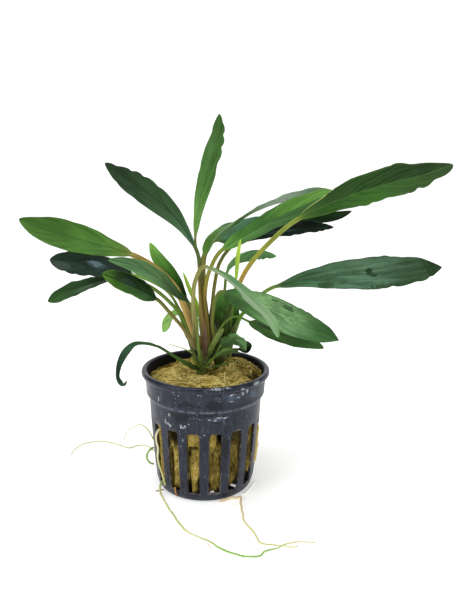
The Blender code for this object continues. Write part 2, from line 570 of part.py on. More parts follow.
def build_plant():
    crown_green = finish("crown_green", CROWN_GREEN, 0.5)
    bright = finish("leaf_bright", BRIGHT_LEAF, 0.42)
    deep = finish("leaf_deep", DEEP_LEAF, 0.32)
    filmed = finish("leaf_filmed", FILMED_LEAF, 0.5)
    lime = finish("leaf_lime", LIME_LEAF, 0.45)
    build_crown("crown_main", crown_green,
                [(CROWN_X, CROWN_Y, CROWN_FOOT, 1.8), (-0.9, -2.8, 54.0, 2.2), (-0.8, -2.4, 57.5, 2.9),
                 (CROWN_TOP_X, CROWN_TOP_Y, CROWN_TOP, 4.0)])
    build_crown("crown_side", crown_green,
                [(SHOOT_X, SHOOT_Y, SHOOT_FOOT, 1.6), (8.5, 6.2, 57.0, 2.1),
                 (SHOOT_TOP_X, SHOOT_TOP_Y, SHOOT_TOP, 2.5)])
    build_upright_leaves(bright, filmed, lime)
    build_left_leaves(bright, deep)
    build_right_leaves(bright, deep, filmed)
    build_base_leaves(bright, deep)
    build_roots(finish("root_pale", PALE_ROOT, 0.5), finish("root_green", GREEN_ROOT, 0.5),
                finish("root_brown", BROWN_ROOT, 0.6))


clear_scene()
build_pot(finish("pot_plastic", DARK_PLASTIC, 0.42))
build_rock_wool(finish("rock_wool_fibre", OCHRE_WOOL, 0.95))
build_plant()
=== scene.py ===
import math

import bpy
import numpy as np
from mathutils import Matrix, Vector


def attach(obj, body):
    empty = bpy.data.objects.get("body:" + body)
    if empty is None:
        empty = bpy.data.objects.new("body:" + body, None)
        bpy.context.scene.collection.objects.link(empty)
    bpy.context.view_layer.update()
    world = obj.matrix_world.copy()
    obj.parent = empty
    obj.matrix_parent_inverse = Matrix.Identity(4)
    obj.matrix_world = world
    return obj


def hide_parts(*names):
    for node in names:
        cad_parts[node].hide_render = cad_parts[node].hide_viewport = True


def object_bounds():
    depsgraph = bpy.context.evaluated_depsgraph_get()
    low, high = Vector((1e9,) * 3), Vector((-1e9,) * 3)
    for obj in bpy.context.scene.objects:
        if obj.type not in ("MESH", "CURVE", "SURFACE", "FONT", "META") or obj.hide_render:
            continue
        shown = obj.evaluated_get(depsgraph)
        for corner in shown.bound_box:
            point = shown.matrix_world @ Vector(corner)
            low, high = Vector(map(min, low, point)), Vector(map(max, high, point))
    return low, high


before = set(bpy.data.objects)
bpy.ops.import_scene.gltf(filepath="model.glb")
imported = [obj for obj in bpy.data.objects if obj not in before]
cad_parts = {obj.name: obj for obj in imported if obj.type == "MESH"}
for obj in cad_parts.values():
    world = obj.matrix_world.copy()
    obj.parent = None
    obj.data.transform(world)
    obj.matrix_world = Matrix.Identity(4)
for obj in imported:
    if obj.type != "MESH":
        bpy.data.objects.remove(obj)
cad_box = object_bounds()
MM = 0.001

# The room: a white paper sweep, flat under the pot and curved up behind it, lit by large
# soft panels and white surroundings. The camera stands in front, level with the leaves.
CAMERA_PLACE = (0.0125, -0.2394, 0.1333)
CAMERA_LENS = 34.0
CAMERA_PITCH = 11.45
CAMERA_ROLL = 0.9
SWEEP_SIZE = 2.6
SWEEP_HEIGHT = 1.5
SWEEP_BEND = 0.5
WHITE = (1.0, 1.0, 1.0, 1.0)
PAPER_GLOW = 0.42
ROOM_GLOW = 0.30
ROOM_SEEN = 1.05


def paint(red, green, blue):
    """A colour as it looks on a screen, 0 to 255, turned into the linear one that a shader wants."""
    linear = []
    for value in (red, green, blue):
        part = value / 255.0
        linear.append(part / 12.92 if part <= 0.04045 else ((part + 0.055) / 1.055) ** 2.4)
    return (*linear, 1.0)


def wire(tree, node, wires):
    """Sets a node's sockets to values, or wires them to other sockets."""
    for socket, value in wires.items():
        if isinstance(value, bpy.types.NodeSocket):
            tree.links.new(value, node.inputs[socket])
        else:
            node.inputs[socket].default_value = value


def add_node(tree, kind, wires=None, **settings):
    """A shader node with its settings and its sockets."""
    node = tree.nodes.new(kind)
    for setting, value in settings.items():
        setattr(node, setting, value)
    wire(tree, node, wires or {})
    return node


def new_finish(name, colour):
    """A material and its shader, with the plain colour that a preview shows."""
    finish = bpy.data.materials.new(name)
    finish.use_nodes = True
    finish.diffuse_color = colour
    shader = finish.node_tree.nodes["Principled BSDF"]
    shader.inputs["Base Color"].default_value = colour
    return finish, finish.node_tree, shader


bpy.ops.object.select_all(action="DESELECT")
bpy.ops.object.camera_add(location=CAMERA_PLACE)
camera = bpy.context.object
camera.data.lens = CAMERA_LENS
camera.data.sensor_width = 36.0
camera.data.clip_start = 0.01
pitch = Matrix.Rotation(math.radians(90.0 - CAMERA_PITCH), 3, "X")
roll = Matrix.Rotation(math.radians(CAMERA_ROLL), 3, "Z")
camera.rotation_euler = (pitch @ roll).to_euler()
bpy.context.scene.camera = camera

bpy.ops.mesh.primitive_plane_add(size=SWEEP_SIZE)
sweep = bpy.context.object
sweep.name = "paper_sweep"
for edge in sweep.data.edges:
    ends = [sweep.data.vertices[v].co.y for v in edge.vertices]
    edge.select = min(ends) > 0.4 * SWEEP_SIZE
for face in sweep.data.polygons:
    face.select = False
for vertex in sweep.data.vertices:
    vertex.select = vertex.co.y > 0.4 * SWEEP_SIZE
bpy.ops.object.mode_set(mode="EDIT")
bpy.ops.mesh.select_mode(type="EDGE")
bpy.ops.mesh.extrude_region_move(TRANSFORM_OT_translate={"value": (0.0, 0.0, SWEEP_HEIGHT)})
bpy.ops.object.mode_set(mode="OBJECT")
bend = sweep.modifiers.new("bend", "BEVEL")
bend.width = SWEEP_BEND
bend.segments = 24
bpy.ops.object.modifier_apply(modifier="bend")
bpy.ops.object.shade_smooth()
paper, paper_tree, paper_shader = new_finish("white_paper", (0.93, 0.93, 0.93, 1.0))
wire(paper_tree, paper_shader, {"Roughness": 0.9, "Specular IOR Level": 0.1, "Emission Color": WHITE,
                                "Emission Strength": PAPER_GLOW})
sweep.data.materials.append(paper)


def soft_panel(name, place, aim, width, watts):
    """A large soft light that faces a point."""
    bpy.ops.object.light_add(type="AREA", location=place)
    panel = bpy.context.object
    panel.name = name
    panel.data.shape = "DISK"
    panel.data.size = width
    panel.data.energy = watts
    panel.rotation_euler = (Vector(aim) - Vector(place)).to_track_quat("-Z", "Y").to_euler()


soft_panel("panel_top", (-0.15, -0.1, 1.2), (0.0, 0.0, 0.05), 0.8, 6.5)
soft_panel("panel_left", (-0.9, -0.7, 0.6), (0.0, 0.0, 0.08), 0.6, 5.5)
soft_panel("panel_right", (1.0, -0.6, 0.5), (0.0, 0.0, 0.06), 0.5, 2.4)

room = bpy.data.worlds.new("white_room")
room.use_nodes = True
bpy.context.scene.world = room
room_tree = room.node_tree
room_light = room_tree.nodes["Background"]
wire(room_tree, room_light, {"Color": WHITE, "Strength": ROOM_GLOW})
seen = add_node(room_tree, "ShaderNodeBackground", {"Color": WHITE, "Strength": ROOM_SEEN})
ray = add_node(room_tree, "ShaderNodeLightPath")
either = add_node(room_tree, "ShaderNodeMixShader", {
    0: ray.outputs["Is Camera Ray"], 1: room_light.outputs[0], 2: seen.outputs[0]})
room_tree.links.new(either.outputs[0], room_tree.nodes["World Output"].inputs["Surface"])
bpy.context.scene.view_settings.view_transform = "Standard"

# Net pot: one moulding of dark slate polypropylene, with a rolled lip, a plain collar that
# ends in a ledge, sixteen tall slots in the wall and eight in the floor. Lime has dried on it.
# Its profile is in mm from its axis and its foot, and its bearings are in degrees.
POT_OUTSIDE = [
    (4.0, 0.0), (8.0, 0.0), (12.5, 0.0), (17.5, 0.0), (19.6, 0.0), (20.4, 0.15), (21.0, 0.6),
    (21.35, 1.3), (21.7, 2.6), (22.1, 4.2), (22.4, 6.6), (22.75, 9.8), (23.1, 13.6), (23.5, 19.0),
    (23.75, 22.8), (24.0, 26.4), (24.35, 32.0), (24.55, 35.0), (24.72, 38.6), (24.82, 40.6),
    (24.9, 41.3), (25.15, 41.65), (25.2, 42.0), (25.12, 42.35), (25.3, 42.65), (25.95, 42.8),
    (26.2, 43.05), (26.28, 43.5), (26.25, 44.1), (26.42, 46.4), (26.6, 48.6), (26.75, 50.2),
    (26.85, 50.75), (27.2, 50.85), (27.75, 50.95), (28.1, 51.25), (28.28, 51.75), (28.3, 52.3),
    (28.2, 52.85), (27.95, 53.25), (27.55, 53.47), (27.1, 53.5),
]
POT_INSIDE = [
    (26.6, 53.45), (26.15, 53.2), (25.88, 52.75), (25.8, 52.1), (25.72, 51.0), (25.5, 48.6),
    (25.3, 46.0), (25.15, 44.2), (24.7, 43.2), (24.0, 42.2), (23.8, 41.2), (23.7, 39.0),
    (23.35, 32.0), (23.0, 26.4), (22.5, 19.0), (22.1, 13.6), (21.75, 9.8), (21.1, 4.2),
    (20.6, 2.4), (20.0, 1.6), (19.0, 1.25), (17.5, 1.2), (12.5, 1.2), (8.0, 1.2), (4.0, 1.2),
]
WALL_SLOTS = 16
FRONT_SLOT = 283.05
SLOT_PITCH = 22.5
SLOT_HALF = 6.4286
SLOT_FOOT = 4.2
SLOT_HEAD = 32.0
SLOT_CORNER = 1.3
SLOT_FADE = 4.0
FLOOR_SLOT = (8.0, 17.5)
FLOOR_TOP = 1.3
WALL_REACH = 20.0
POT_STEPS = 448
EDGE_ROUND = 0.14
SHARP_FROM = 42.0
POT_COLOUR = paint(40, 43, 53)
# Pale colour of the slot edges: painted highlight, with some wear.
WORN_EDGE_HIGHLIGHT_COLOUR = paint(150, 137, 116)
LIME_COLOUR = paint(205, 216, 220)


def off_slot(x, y):
    """Degrees from the middle of the nearest wall slot, and that slot's number from the front one."""
    turned = math.degrees(math.atan2(y, x)) - FRONT_SLOT
    number = round(turned / SLOT_PITCH)
    return turned - number * SLOT_PITCH, number % WALL_SLOTS


def pick(piece, chosen):
    """Selects only these faces or edges of a piece, for the next edit."""
    mesh = piece.data
    for parts in (mesh.polygons, mesh.edges, mesh.vertices):
        parts.foreach_set("select", np.zeros(len(parts), bool))
    for part in chosen:
        part.select = True


bpy.ops.object.select_all(action="DESELECT")
bpy.ops.mesh.primitive_circle_add(vertices=3, radius=0.001)
pot = bpy.context.object
pot.name = "net_pot"
bpy.ops.object.mode_set(mode="EDIT")
bpy.ops.mesh.select_mode(type="VERT")
bpy.ops.mesh.select_all(action="SELECT")
bpy.ops.mesh.merge(type="CENTER")
at = (0.0, 0.0)
for spot in POT_OUTSIDE + POT_INSIDE + [(0.0, 1.2)]:
    step = ((spot[0] - at[0]) * MM, 0.0, (spot[1] - at[1]) * MM)
    bpy.ops.mesh.extrude_region_move(TRANSFORM_OT_translate={"value": step})
    at = spot
bpy.ops.mesh.select_all(action="SELECT")
bpy.ops.mesh.spin(steps=POT_STEPS, angle=2.0 * math.pi, center=(0.0, 0.0, 0.0), axis=(0.0, 0.0, 1.0))
bpy.ops.mesh.select_all(action="SELECT")
bpy.ops.mesh.remove_doubles(threshold=0.00001)
bpy.ops.mesh.normals_make_consistent(inside=False)
bpy.ops.object.mode_set(mode="OBJECT")
pot.data.transform(Matrix.Rotation(math.radians(FRONT_SLOT), 4, "Z"))

open_faces = []
for face in pot.data.polygons:
    x, y, z = [value / MM for value in face.center]
    aside, number = off_slot(x, y)
    if abs(aside) > SLOT_HALF:
        continue
    reach = math.hypot(x, y)
    in_wall = reach > WALL_REACH and SLOT_FOOT < z < SLOT_HEAD
    in_floor = FLOOR_SLOT[0] < reach < FLOOR_SLOT[1] and z < FLOOR_TOP and number % 2 == 0
    if in_wall or in_floor:
        open_faces.append(face)
pick(pot, open_faces)
bpy.ops.object.mode_set(mode="EDIT")
bpy.ops.mesh.select_mode(type="FACE")
bpy.ops.mesh.delete(type="FACE")
bpy.ops.object.mode_set(mode="OBJECT")
uses = np.zeros(len(pot.data.edges), int)
edge_of_loop = np.zeros(len(pot.data.loops), int)
pot.data.loops.foreach_get("edge_index", edge_of_loop)
np.add.at(uses, edge_of_loop, 1)
spots = np.array([v.co[:] for v in pot.data.vertices]) / MM
open_edges = {}
for edge in pot.data.edges:
    if uses[edge.index] == 1:
        middle = spots[list(edge.vertices)].mean(axis=0)
        number = off_slot(middle[0], middle[1])[1]
        open_edges.setdefault((number, middle[2] > 2.0), []).append(tuple(sorted(edge.vertices)))
for rim in open_edges.values():
    wanted = set(rim)
    pick(pot, [edge for edge in pot.data.edges if tuple(sorted(edge.vertices)) in wanted])
    bpy.ops.object.mode_set(mode="EDIT")
    bpy.ops.mesh.select_mode(type="EDGE")
    bpy.ops.mesh.bridge_edge_loops()
    bpy.ops.object.mode_set(mode="OBJECT")
for vertex in pot.data.vertices:
    x, y, z = vertex.co / MM
    aside = abs(off_slot(x, y)[0])
    from_side = math.radians(SLOT_HALF - aside) * math.hypot(x, y)
    in_head = math.hypot(x, y) > WALL_REACH and SLOT_HEAD - 1.0 < z < SLOT_HEAD + SLOT_FADE
    if in_head and -0.05 < from_side < SLOT_CORNER:
        depth = SLOT_CORNER - math.sqrt(SLOT_CORNER ** 2 - (SLOT_CORNER - max(from_side, 0.0)) ** 2)
        vertex.co.z -= depth * (1.0 - (z - SLOT_HEAD) / SLOT_FADE if z > SLOT_HEAD else 1.0) * MM
edges_round = pot.modifiers.new("edges_round", "BEVEL")
edges_round.width = EDGE_ROUND * MM
edges_round.segments = 2
edges_round.limit_method = "ANGLE"
edges_round.angle_limit = math.radians(50.0)
bpy.ops.object.modifier_apply(modifier="edges_round")
cut = pot.data.attributes.new("pot_cut", "FLOAT", "POINT")
for vertex in pot.data.vertices:
    x, y, z = vertex.co / MM
    aside = abs(off_slot(x, y)[0])
    from_side = math.radians(abs(aside - SLOT_HALF)) * math.hypot(x, y)
    beside = 3.8 < z < 32.2 and from_side < 0.16
    above = aside < SLOT_HALF and (abs(z - SLOT_HEAD) < 0.2 or abs(z - SLOT_FOOT) < 0.2)
    in_edge = math.hypot(x, y) > WALL_REACH and (beside or above)
    cut.data[vertex.index].value = 1.0 if in_edge else 0.0
bpy.ops.object.shade_smooth()
pot.data.set_sharp_from_angle(angle=math.radians(SHARP_FROM))


def sums(tree, operation, first, second=0.0, third=0.0):
    """One step of arithmetic between sockets or numbers."""
    wires = {0: first, 1: second}
    if operation == "MULTIPLY_ADD":
        wires[2] = third
    return add_node(tree, "ShaderNodeMath", wires, operation=operation).outputs[0]


def times(tree, first, second):
    """The product of two sockets, or of a socket and a number."""
    return sums(tree, "MULTIPLY", first, second)


def vector_sums(tree, operation, first, second=(0.0, 0.0, 0.0)):
    """One step of arithmetic between places, or the length of one."""
    step = add_node(tree, "ShaderNodeVectorMath", {0: first, 1: second}, operation=operation)
    return step.outputs["Value" if operation == "LENGTH" else "Vector"]


def steps(tree, value, low, high, floor=0.0, ceiling=1.0):
    """Turns a value into a share that rises from floor to ceiling between low and high."""
    span = add_node(tree, "ShaderNodeMapRange", {
        "Value": value, "From Min": low, "From Max": high, "To Min": floor, "To Max": ceiling},
        interpolation_type="SMOOTHSTEP")
    return span.outputs["Result"]


def grain_of(tree, place, scale, detail=3.0, rough=0.55, warp=0.0):
    """Noise over a place, about 0.3 to 0.7."""
    spots = add_node(tree, "ShaderNodeTexNoise", {
        "Vector": place, "Scale": scale, "Detail": detail, "Roughness": rough, "Distortion": warp})
    return spots.outputs["Fac"]


def over(tree, share, under, colour, mode="MIX"):
    """Lays a colour over another by a share."""
    wires = {0: share, 6: under, 7: colour}
    return add_node(tree, "ShaderNodeMix", wires, data_type="RGBA", blend_type=mode).outputs[2]


def xyz(tree, vector):
    """The three parts of a vector."""
    return add_node(tree, "ShaderNodeSeparateXYZ", {0: vector}).outputs


def stored(tree, title, plug="Vector"):
    """What a piece's mesh keeps under a title at each of its points."""
    return add_node(tree, "ShaderNodeAttribute", attribute_name=title).outputs[plug]


def stretched(tree, place, scale):
    """A place drawn out or pressed together, so that a pattern on it runs one way."""
    return add_node(tree, "ShaderNodeMapping", {"Vector": place, "Scale": scale}).outputs["Vector"]


def relief_on(tree, height, strength, depth):
    """A fine relief for a shader's Normal, with its depth in metres."""
    wires = {"Strength": strength, "Distance": depth, "Height": height}
    return add_node(tree, "ShaderNodeBump", wires).outputs["Normal"]


def new_group(name, vectors, numbers, results):
    """An empty shader group with its named plugs, what it is given, and the node for its results."""
    group = bpy.data.node_groups.new(name, "ShaderNodeTree")
    for plugs, kind, way in ((vectors, "Vector", "INPUT"), (numbers, "Float", "INPUT"),
                             (results, "Float", "OUTPUT")):
        for plug in plugs:
            group.interface.new_socket(plug, in_out=way, socket_type=f"NodeSocket{kind}")
    return group, group.nodes.new("NodeGroupInput").outputs, group.nodes.new("NodeGroupOutput")


def patch_group():
    """Makes the group for one ragged spot: its mask is 1 inside an oval round a centre, 0 outside."""
    group, given, result = new_group("ragged_patch", ("Place", "Centre", "Size"),
                                     ("Grain", "Ragged", "Soft"), ("Mask",))
    apart = vector_sums(group, "SUBTRACT", given["Place"], given["Centre"])
    away = vector_sums(group, "LENGTH", vector_sums(group, "DIVIDE", apart, given["Size"]))
    rough = sums(group, "SUBTRACT", grain_of(group, given["Place"], given["Grain"], 6.0, 0.65), 0.5)
    wobble = sums(group, "MULTIPLY_ADD", rough, given["Ragged"], away)
    inner = sums(group, "SUBTRACT", 1.0, given["Soft"])
    wire(group, result, {"Mask": steps(group, wobble, inner, 1.0, 1.0, 0.0)})
    return group


ragged_patch = patch_group()


def patch(tree, place, centre, size, grain, ragged, soft):
    """The mask of one ragged spot."""
    wires = {"Place": place, "Centre": centre, "Size": size, "Grain": grain, "Ragged": ragged, "Soft": soft}
    return add_node(tree, "ShaderNodeGroup", wires, node_tree=ragged_patch).outputs["Mask"]


DAMP_SPOTS = [(-5.6, 45.4, 4.6, 2.0), (4.8, 45.6, 3.6, 2.2), (-9.5, 39.6, 4.2, 2.6), (1.5, 41.0, 5.5, 1.4),
              (-11.8, 27.0, 1.6, 7.0), (9.4, 26.0, 1.4, 6.0), (-14.5, 14.0, 1.4, 5.0)]
LIME_SPOTS = [
    (5.5, 53.1, 3.4, 0.5), (10.2, 53.2, 1.6, 0.35), (22.0, 52.5, 1.5, 0.9), (24.5, 51.0, 0.7, 1.2),
    (16.3, 51.9, 1.0, 0.35), (16.4, 49.2, 0.7, 0.9), (18.2, 49.9, 0.5, 1.2), (14.6, 47.9, 0.8, 0.4),
    (12.0, 49.5, 1.6, 0.5), (11.6, 46.6, 1.2, 0.4), (-1.8, 50.2, 0.9, 0.2), (-0.4, 50.0, 0.4, 0.2),
    (-9.8, 49.3, 0.5, 0.3), (-12.0, 50.2, 0.4, 0.3), (-14.1, 39.0, 0.5, 0.9), (-15.7, 35.6, 0.4, 1.8),
    (-14.6, 34.9, 0.9, 0.5), (-13.7, 34.2, 0.5, 0.8), (-8.9, 34.9, 0.6, 1.0), (-7.9, 34.6, 0.8, 0.4),
    (-7.2, 35.4, 0.5, 0.6), (-5.7, 36.6, 0.4, 0.3), (-8.3, 29.0, 0.3, 0.6), (0.8, 32.0, 0.4, 0.4),
    (3.0, 38.8, 0.7, 0.3), (5.0, 38.4, 1.2, 0.5), (6.8, 39.6, 1.6, 0.3), (9.2, 39.2, 1.4, 0.4),
    (-9.2, 26.0, 0.3, 0.3), (-18.6, 45.0, 0.4, 1.4),
]
LIME_SIZE = 0.8
LIME_SMEARS = [(11.5, 48.2, 3.6, 2.0), (6.2, 39.0, 4.4, 1.0), (20.5, 47.5, 2.0, 2.6)]


def front_spots(tree, place, spots, grain, ragged, soft, size=1.0):
    """The mask of ragged spots on the pot's front: (across, up, wide, high) in mm."""
    mask = 0.0
    for x, z, wide, high in spots:
        half = (size * wide * MM, 0.018, size * high * MM)
        spot = patch(tree, place, (x * MM, -0.02, z * MM), half, grain, ragged, soft)
        mask = sums(tree, "MAXIMUM", mask, spot)
    return mask


pot_finish, tree, shader = new_finish("moulded_slate_plastic", POT_COLOUR)
place = add_node(tree, "ShaderNodeTexCoord").outputs["Object"]
cloud = grain_of(tree, place, 90.0)
colour = over(tree, steps(tree, cloud, 0.35, 0.68), paint(27, 31, 44), paint(42, 47, 60))
streaked = stretched(tree, place, (1.0, 1.0, 0.3))
film = steps(tree, grain_of(tree, streaked, 620.0, 6.0, 0.7), 0.5, 0.68, 0.0, 0.4)
colour = over(tree, film, colour, paint(82, 90, 108))
damp = front_spots(tree, place, DAMP_SPOTS, 330.0, 2.6, 0.1)
colour = over(tree, times(tree, damp, 0.75), colour, paint(8, 10, 20))
lime = front_spots(tree, place, LIME_SPOTS, 2400.0, 5.0, 0.3, LIME_SIZE)
lime = times(tree, lime, steps(tree, grain_of(tree, place, 4200.0, 2.0), 0.42, 0.56, 0.15, 1.0))
smear = front_spots(tree, place, LIME_SMEARS, 700.0, 2.6, 0.9)
colour = over(tree, times(tree, smear, 0.5), colour, paint(96, 116, 140))
speck = add_node(tree, "ShaderNodeTexVoronoi", {"Vector": place, "Scale": 1150.0})
speck_near = steps(tree, speck.outputs["Distance"], 0.15, 0.22, 1.0, 0.0)
speck_rare = steps(tree, grain_of(tree, place, 240.0, 2.0), 0.57, 0.66)
specks = times(tree, speck_near, speck_rare)
lime = sums(tree, "MAXIMUM", lime, times(tree, specks, 0.6))
colour = over(tree, lime, colour, LIME_COLOUR)
from_axis = vector_sums(tree, "LENGTH", vector_sums(tree, "MULTIPLY", place, (1.0, 1.0, 0.0)))
level = xyz(tree, place)["Z"]
# The pale line along the ledge: painted highlight, with lime in its groove.
ledge = times(tree, steps(tree, level, 0.0414, 0.0418), steps(tree, level, 0.0424, 0.0427, 1.0, 0.0))
ledge = times(tree, ledge, steps(tree, grain_of(tree, place, 500.0), 0.35, 0.6, 0.1, 0.75))
colour = over(tree, ledge, colour, paint(112, 118, 132))
# Painted shade: the inside of the collar and the rim, darkened almost to black.
inner = times(tree, steps(tree, from_axis, 0.0258, 0.0264, 1.0, 0.0), steps(tree, level, 0.043, 0.044))
colour = over(tree, times(tree, inner, 0.85), colour, paint(8, 9, 16))
# Pale slot edges: painted highlight along the moulded edges, with some wear.
worn_edge_highlight = steps(tree, stored(tree, "pot_cut", "Fac"), 0.7, 1.0)
worn_edge_highlight = times(tree, worn_edge_highlight, steps(tree, grain_of(tree, place, 260.0), 0.46, 0.66, 0.05, 0.6))
colour = over(tree, worn_edge_highlight, colour, WORN_EDGE_HIGHLIGHT_COLOUR)
satin = steps(tree, cloud, 0.3, 0.7, 0.26, 0.42)
for mask, amount in ((lime, 0.35), (damp, -0.1), (inner, 0.3)):
    satin = sums(tree, "MULTIPLY_ADD", mask, amount, satin)
height = sums(tree, "MULTIPLY_ADD", grain_of(tree, place, 1500.0, 2.0), 0.35, lime)
wire(tree, shader, {"Base Color": colour, "Roughness": satin, "Specular IOR Level": 0.24,
                    "Normal": relief_on(tree, height, 0.35, 0.00006)})
pot.data.materials.append(pot_finish)
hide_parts("pot")
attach(pot, "root")

# Rock wool: a plug of spun mineral fibre, ochre from the water, pushed into the pot. It swells
# out of the slots in lumps, is eaten away at the foot, and the stem stands in its middle.
WOOL_AROUND = 320
WOOL_LEVEL = 52.0
WOOL_SHOULDER = 49.0
WOOL_GAP = 0.6
WOOL_REACH = 23.0
STEM_PLACE = (-1.0, -3.0)
WOOL_SWELL = {3: 1.9, 4: 1.2, 12: 0.5}
WOOL_FEET = {13: 3.4, 14: 3.2, 15: 2.6, 0: 4.6, 1: 7.6, 2: 9.2, 3: 9.6, 12: 4.0}
WOOL_HOLLOWS = [
    (22.5, -6.0, 5.2, 3.6), (3.2, -3.6, 2.0, 3.6), (-20.0, 11.0, 6.5, 2.6), (12.0, -17.5, 3.0, 0.8),
    (-15.0, -13.0, 3.0, 0.6), (-7.5, 1.5, 2.4, 1.2), (5.0, 2.0, 2.4, 1.6), (16.0, 8.0, 4.0, 0.6),
    (-24.0, -3.0, 3.6, 2.4), (12.0, 9.0, 6.0, -1.8), (-14.0, 14.0, 5.0, -0.8), (9.5, 2.2, 4.0, -3.8),
]
WOOL_CAVITIES = [
    (14, 29.6, 0.0, 2.6, 7.0, 4.5), (14, 20.0, -6.0, 2.6, 2.2, 2.4), (14, 10.0, -6.2, 5.0, 2.2, 2.6),
    (14, 17.2, 1.6, 0.8, 1.1, 1.8), (14, 23.6, 0.5, 0.4, 5.0, 0.9), (15, 25.0, 0.0, 0.45, 6.5, 1.7),
    (15, 22.6, -5.2, 2.2, 2.2, 2.2), (15, 7.0, 6.4, 4.2, 2.4, 3.2), (15, 6.0, -6.6, 3.2, 2.4, 3.2),
    (0, 30.2, 5.6, 2.6, 2.4, 4.5), (0, 27.0, 2.5, 1.1, 1.3, 1.4), (0, 24.4, 0.2, 1.1, 1.3, 1.4),
    (0, 21.6, -2.2, 1.1, 1.3, 1.4), (0, 7.0, -6.0, 2.0, 2.0, 2.2), (1, 31.4, -2.0, 0.9, 6.0, 1.2),
    (2, 28.0, 3.0, 3.0, 2.2, 1.8), (13, 18.0, 3.0, 2.0, 3.0, 1.6),
]
# Marks on the plug's side, darker or with a minus lighter: damp stains, painted shade on the right-hand slots
# and slot tops, painted light on lit lumps.
WOOL_STAINS_AND_SHADE = [
    (14, 29.5, 0.0, 3.2, 9.0, 0.9), (14, 15.0, -5.5, 8.0, 2.5, 0.4), (14, 15.0, 2.0, 6.0, 3.0, -0.45),
    (15, 28.6, 0.0, 2.6, 8.0, -0.85), (15, 25.0, 0.0, 0.7, 7.0, 0.7), (15, 20.5, -4.5, 4.0, 2.6, 0.55),
    (15, 12.0, 1.0, 8.0, 3.0, -0.3), (0, 28.6, -3.4, 3.0, 3.4, -0.55), (0, 30.0, 5.4, 3.0, 3.0, 0.9),
    (0, 15.0, 2.0, 12.0, 7.0, 0.35), (1, 16.0, 0.0, 14.0, 9.0, 0.4), (1, 29.5, 0.0, 4.0, 8.0, 0.5),
    (2, 22.0, 0.0, 12.0, 9.0, 0.75), (13, 20.0, 0.0, 16.0, 9.0, -0.5), (3, 18.0, 0.0, 20.0, 16.0, -1.1),
    (14, 18.0, 0.0, 14.0, 9.0, -0.2),
]
# Marks on the plug's top, the same kind: damp stains, painted shade by the stem and at the right rim, painted
# light on lit spots.
WOOL_TOP_STAINS_AND_SHADE = [
    (22.6, -4.5, 5.0, 0.9), (9.0, 4.0, 5.0, 0.45), (3.2, -3.0, 2.4, 0.8), (14.5, -1.5, 3.5, -0.35),
    (21.5, 3.0, 2.6, 0.5), (-14.0, -9.0, 8.0, -0.35), (-14.0, 12.0, 4.0, 0.2), (-8.0, 1.0, 2.6, 0.5),
    (2.0, -16.0, 6.0, -0.2), (17.5, -11.0, 2.4, 0.4),
]


def swirl(place, size, seed, waves=14):
    """Smooth random relief, about -1 to 1, over rows of points, with lumps of a given size."""
    chance = np.random.default_rng(seed)
    total = np.zeros(place.shape[:-1])
    for _ in range(waves):
        heading = chance.normal(size=place.shape[-1])
        heading /= np.linalg.norm(heading)
        total += np.sin(place @ heading * (2.0 * math.pi / (size * chance.uniform(0.7, 1.6)))
                        + chance.uniform(0.0, 2.0 * math.pi))
    return total / math.sqrt(waves / 2.0) * 0.6


def unit_rows(vectors):
    """The same directions, each of length 1."""
    return vectors / np.linalg.norm(vectors, axis=-1, keepdims=True)


def wrap(name, rows, looks):
    """A closed skin over rows of points in mm, each row once round, the first and last a single point.
    looks are the values that its material reads at each point, by title."""
    down, around = rows.shape[:2]
    bpy.ops.object.select_all(action="DESELECT")
    bpy.ops.mesh.primitive_grid_add(x_subdivisions=around, y_subdivisions=down - 1, size=2.0)
    piece = bpy.context.object
    piece.name = name
    mesh = piece.data
    start = np.zeros(len(mesh.vertices) * 3)
    mesh.vertices.foreach_get("co", start)
    start = start.reshape(-1, 3)
    column = np.rint((start[:, 0] + 1.0) / 2.0 * around).astype(int) % around
    row = np.rint((start[:, 1] + 1.0) / 2.0 * (down - 1)).astype(int)
    mesh.vertices.foreach_set("co", (rows[row, column] * MM).ravel())
    for title, values in looks.items():
        kind = "FLOAT_VECTOR" if values.ndim == 3 else "FLOAT"
        field = "vector" if values.ndim == 3 else "value"
        attribute = mesh.attributes.new(title, kind, "POINT")
        attribute.data.foreach_set(field, values[row, column].ravel())
    mesh.update()
    bpy.ops.object.mode_set(mode="EDIT")
    bpy.ops.mesh.select_all(action="SELECT")
    bpy.ops.mesh.remove_doubles(threshold=0.000001)
    bpy.ops.mesh.normals_make_consistent(inside=False)
    bpy.ops.object.mode_set(mode="OBJECT")
    bpy.ops.object.shade_smooth()
    return piece


def pot_bore(height):
    """The pot's inside radius at a height."""
    wall = sorted((z, r) for r, z in POT_INSIDE if r > 19.5)
    return np.interp(height, [z for z, _ in wall], [r for _, r in wall])


def wool_top(x, y):
    """Height of the wool: level with the rim in front, low at the back left, dipped at the stem."""
    back_left = np.maximum(0.0, (-0.55 * x + 0.85 * y) / 24.0)
    from_stem = np.hypot(x - STEM_PLACE[0], y - STEM_PLACE[1])
    level = WOOL_LEVEL - 2.2 * back_left ** 1.5 - 1.2 * np.exp(-(from_stem / 5.0) ** 2)
    for hx, hy, wide, deep in WOOL_HOLLOWS:
        level = level - deep * np.exp(-(((x - hx) ** 2 + (y - hy) ** 2) / wide ** 2))
    return level


def wool_marks(marks, bearing, height):
    """The sum of soft marks (slot, height, degrees aside, high, wide, amount) at a bearing and height."""
    turned = np.degrees(bearing) - FRONT_SLOT
    total = 0.0 * height
    for slot_number, middle, at_side, high, wide, amount in marks:
        off = (turned - (slot_number * SLOT_PITCH + at_side) + 180.0) % 360.0 - 180.0
        total = total + amount * np.exp(-(off / wide) ** 2 - ((height - middle) / high) ** 2)
    return total


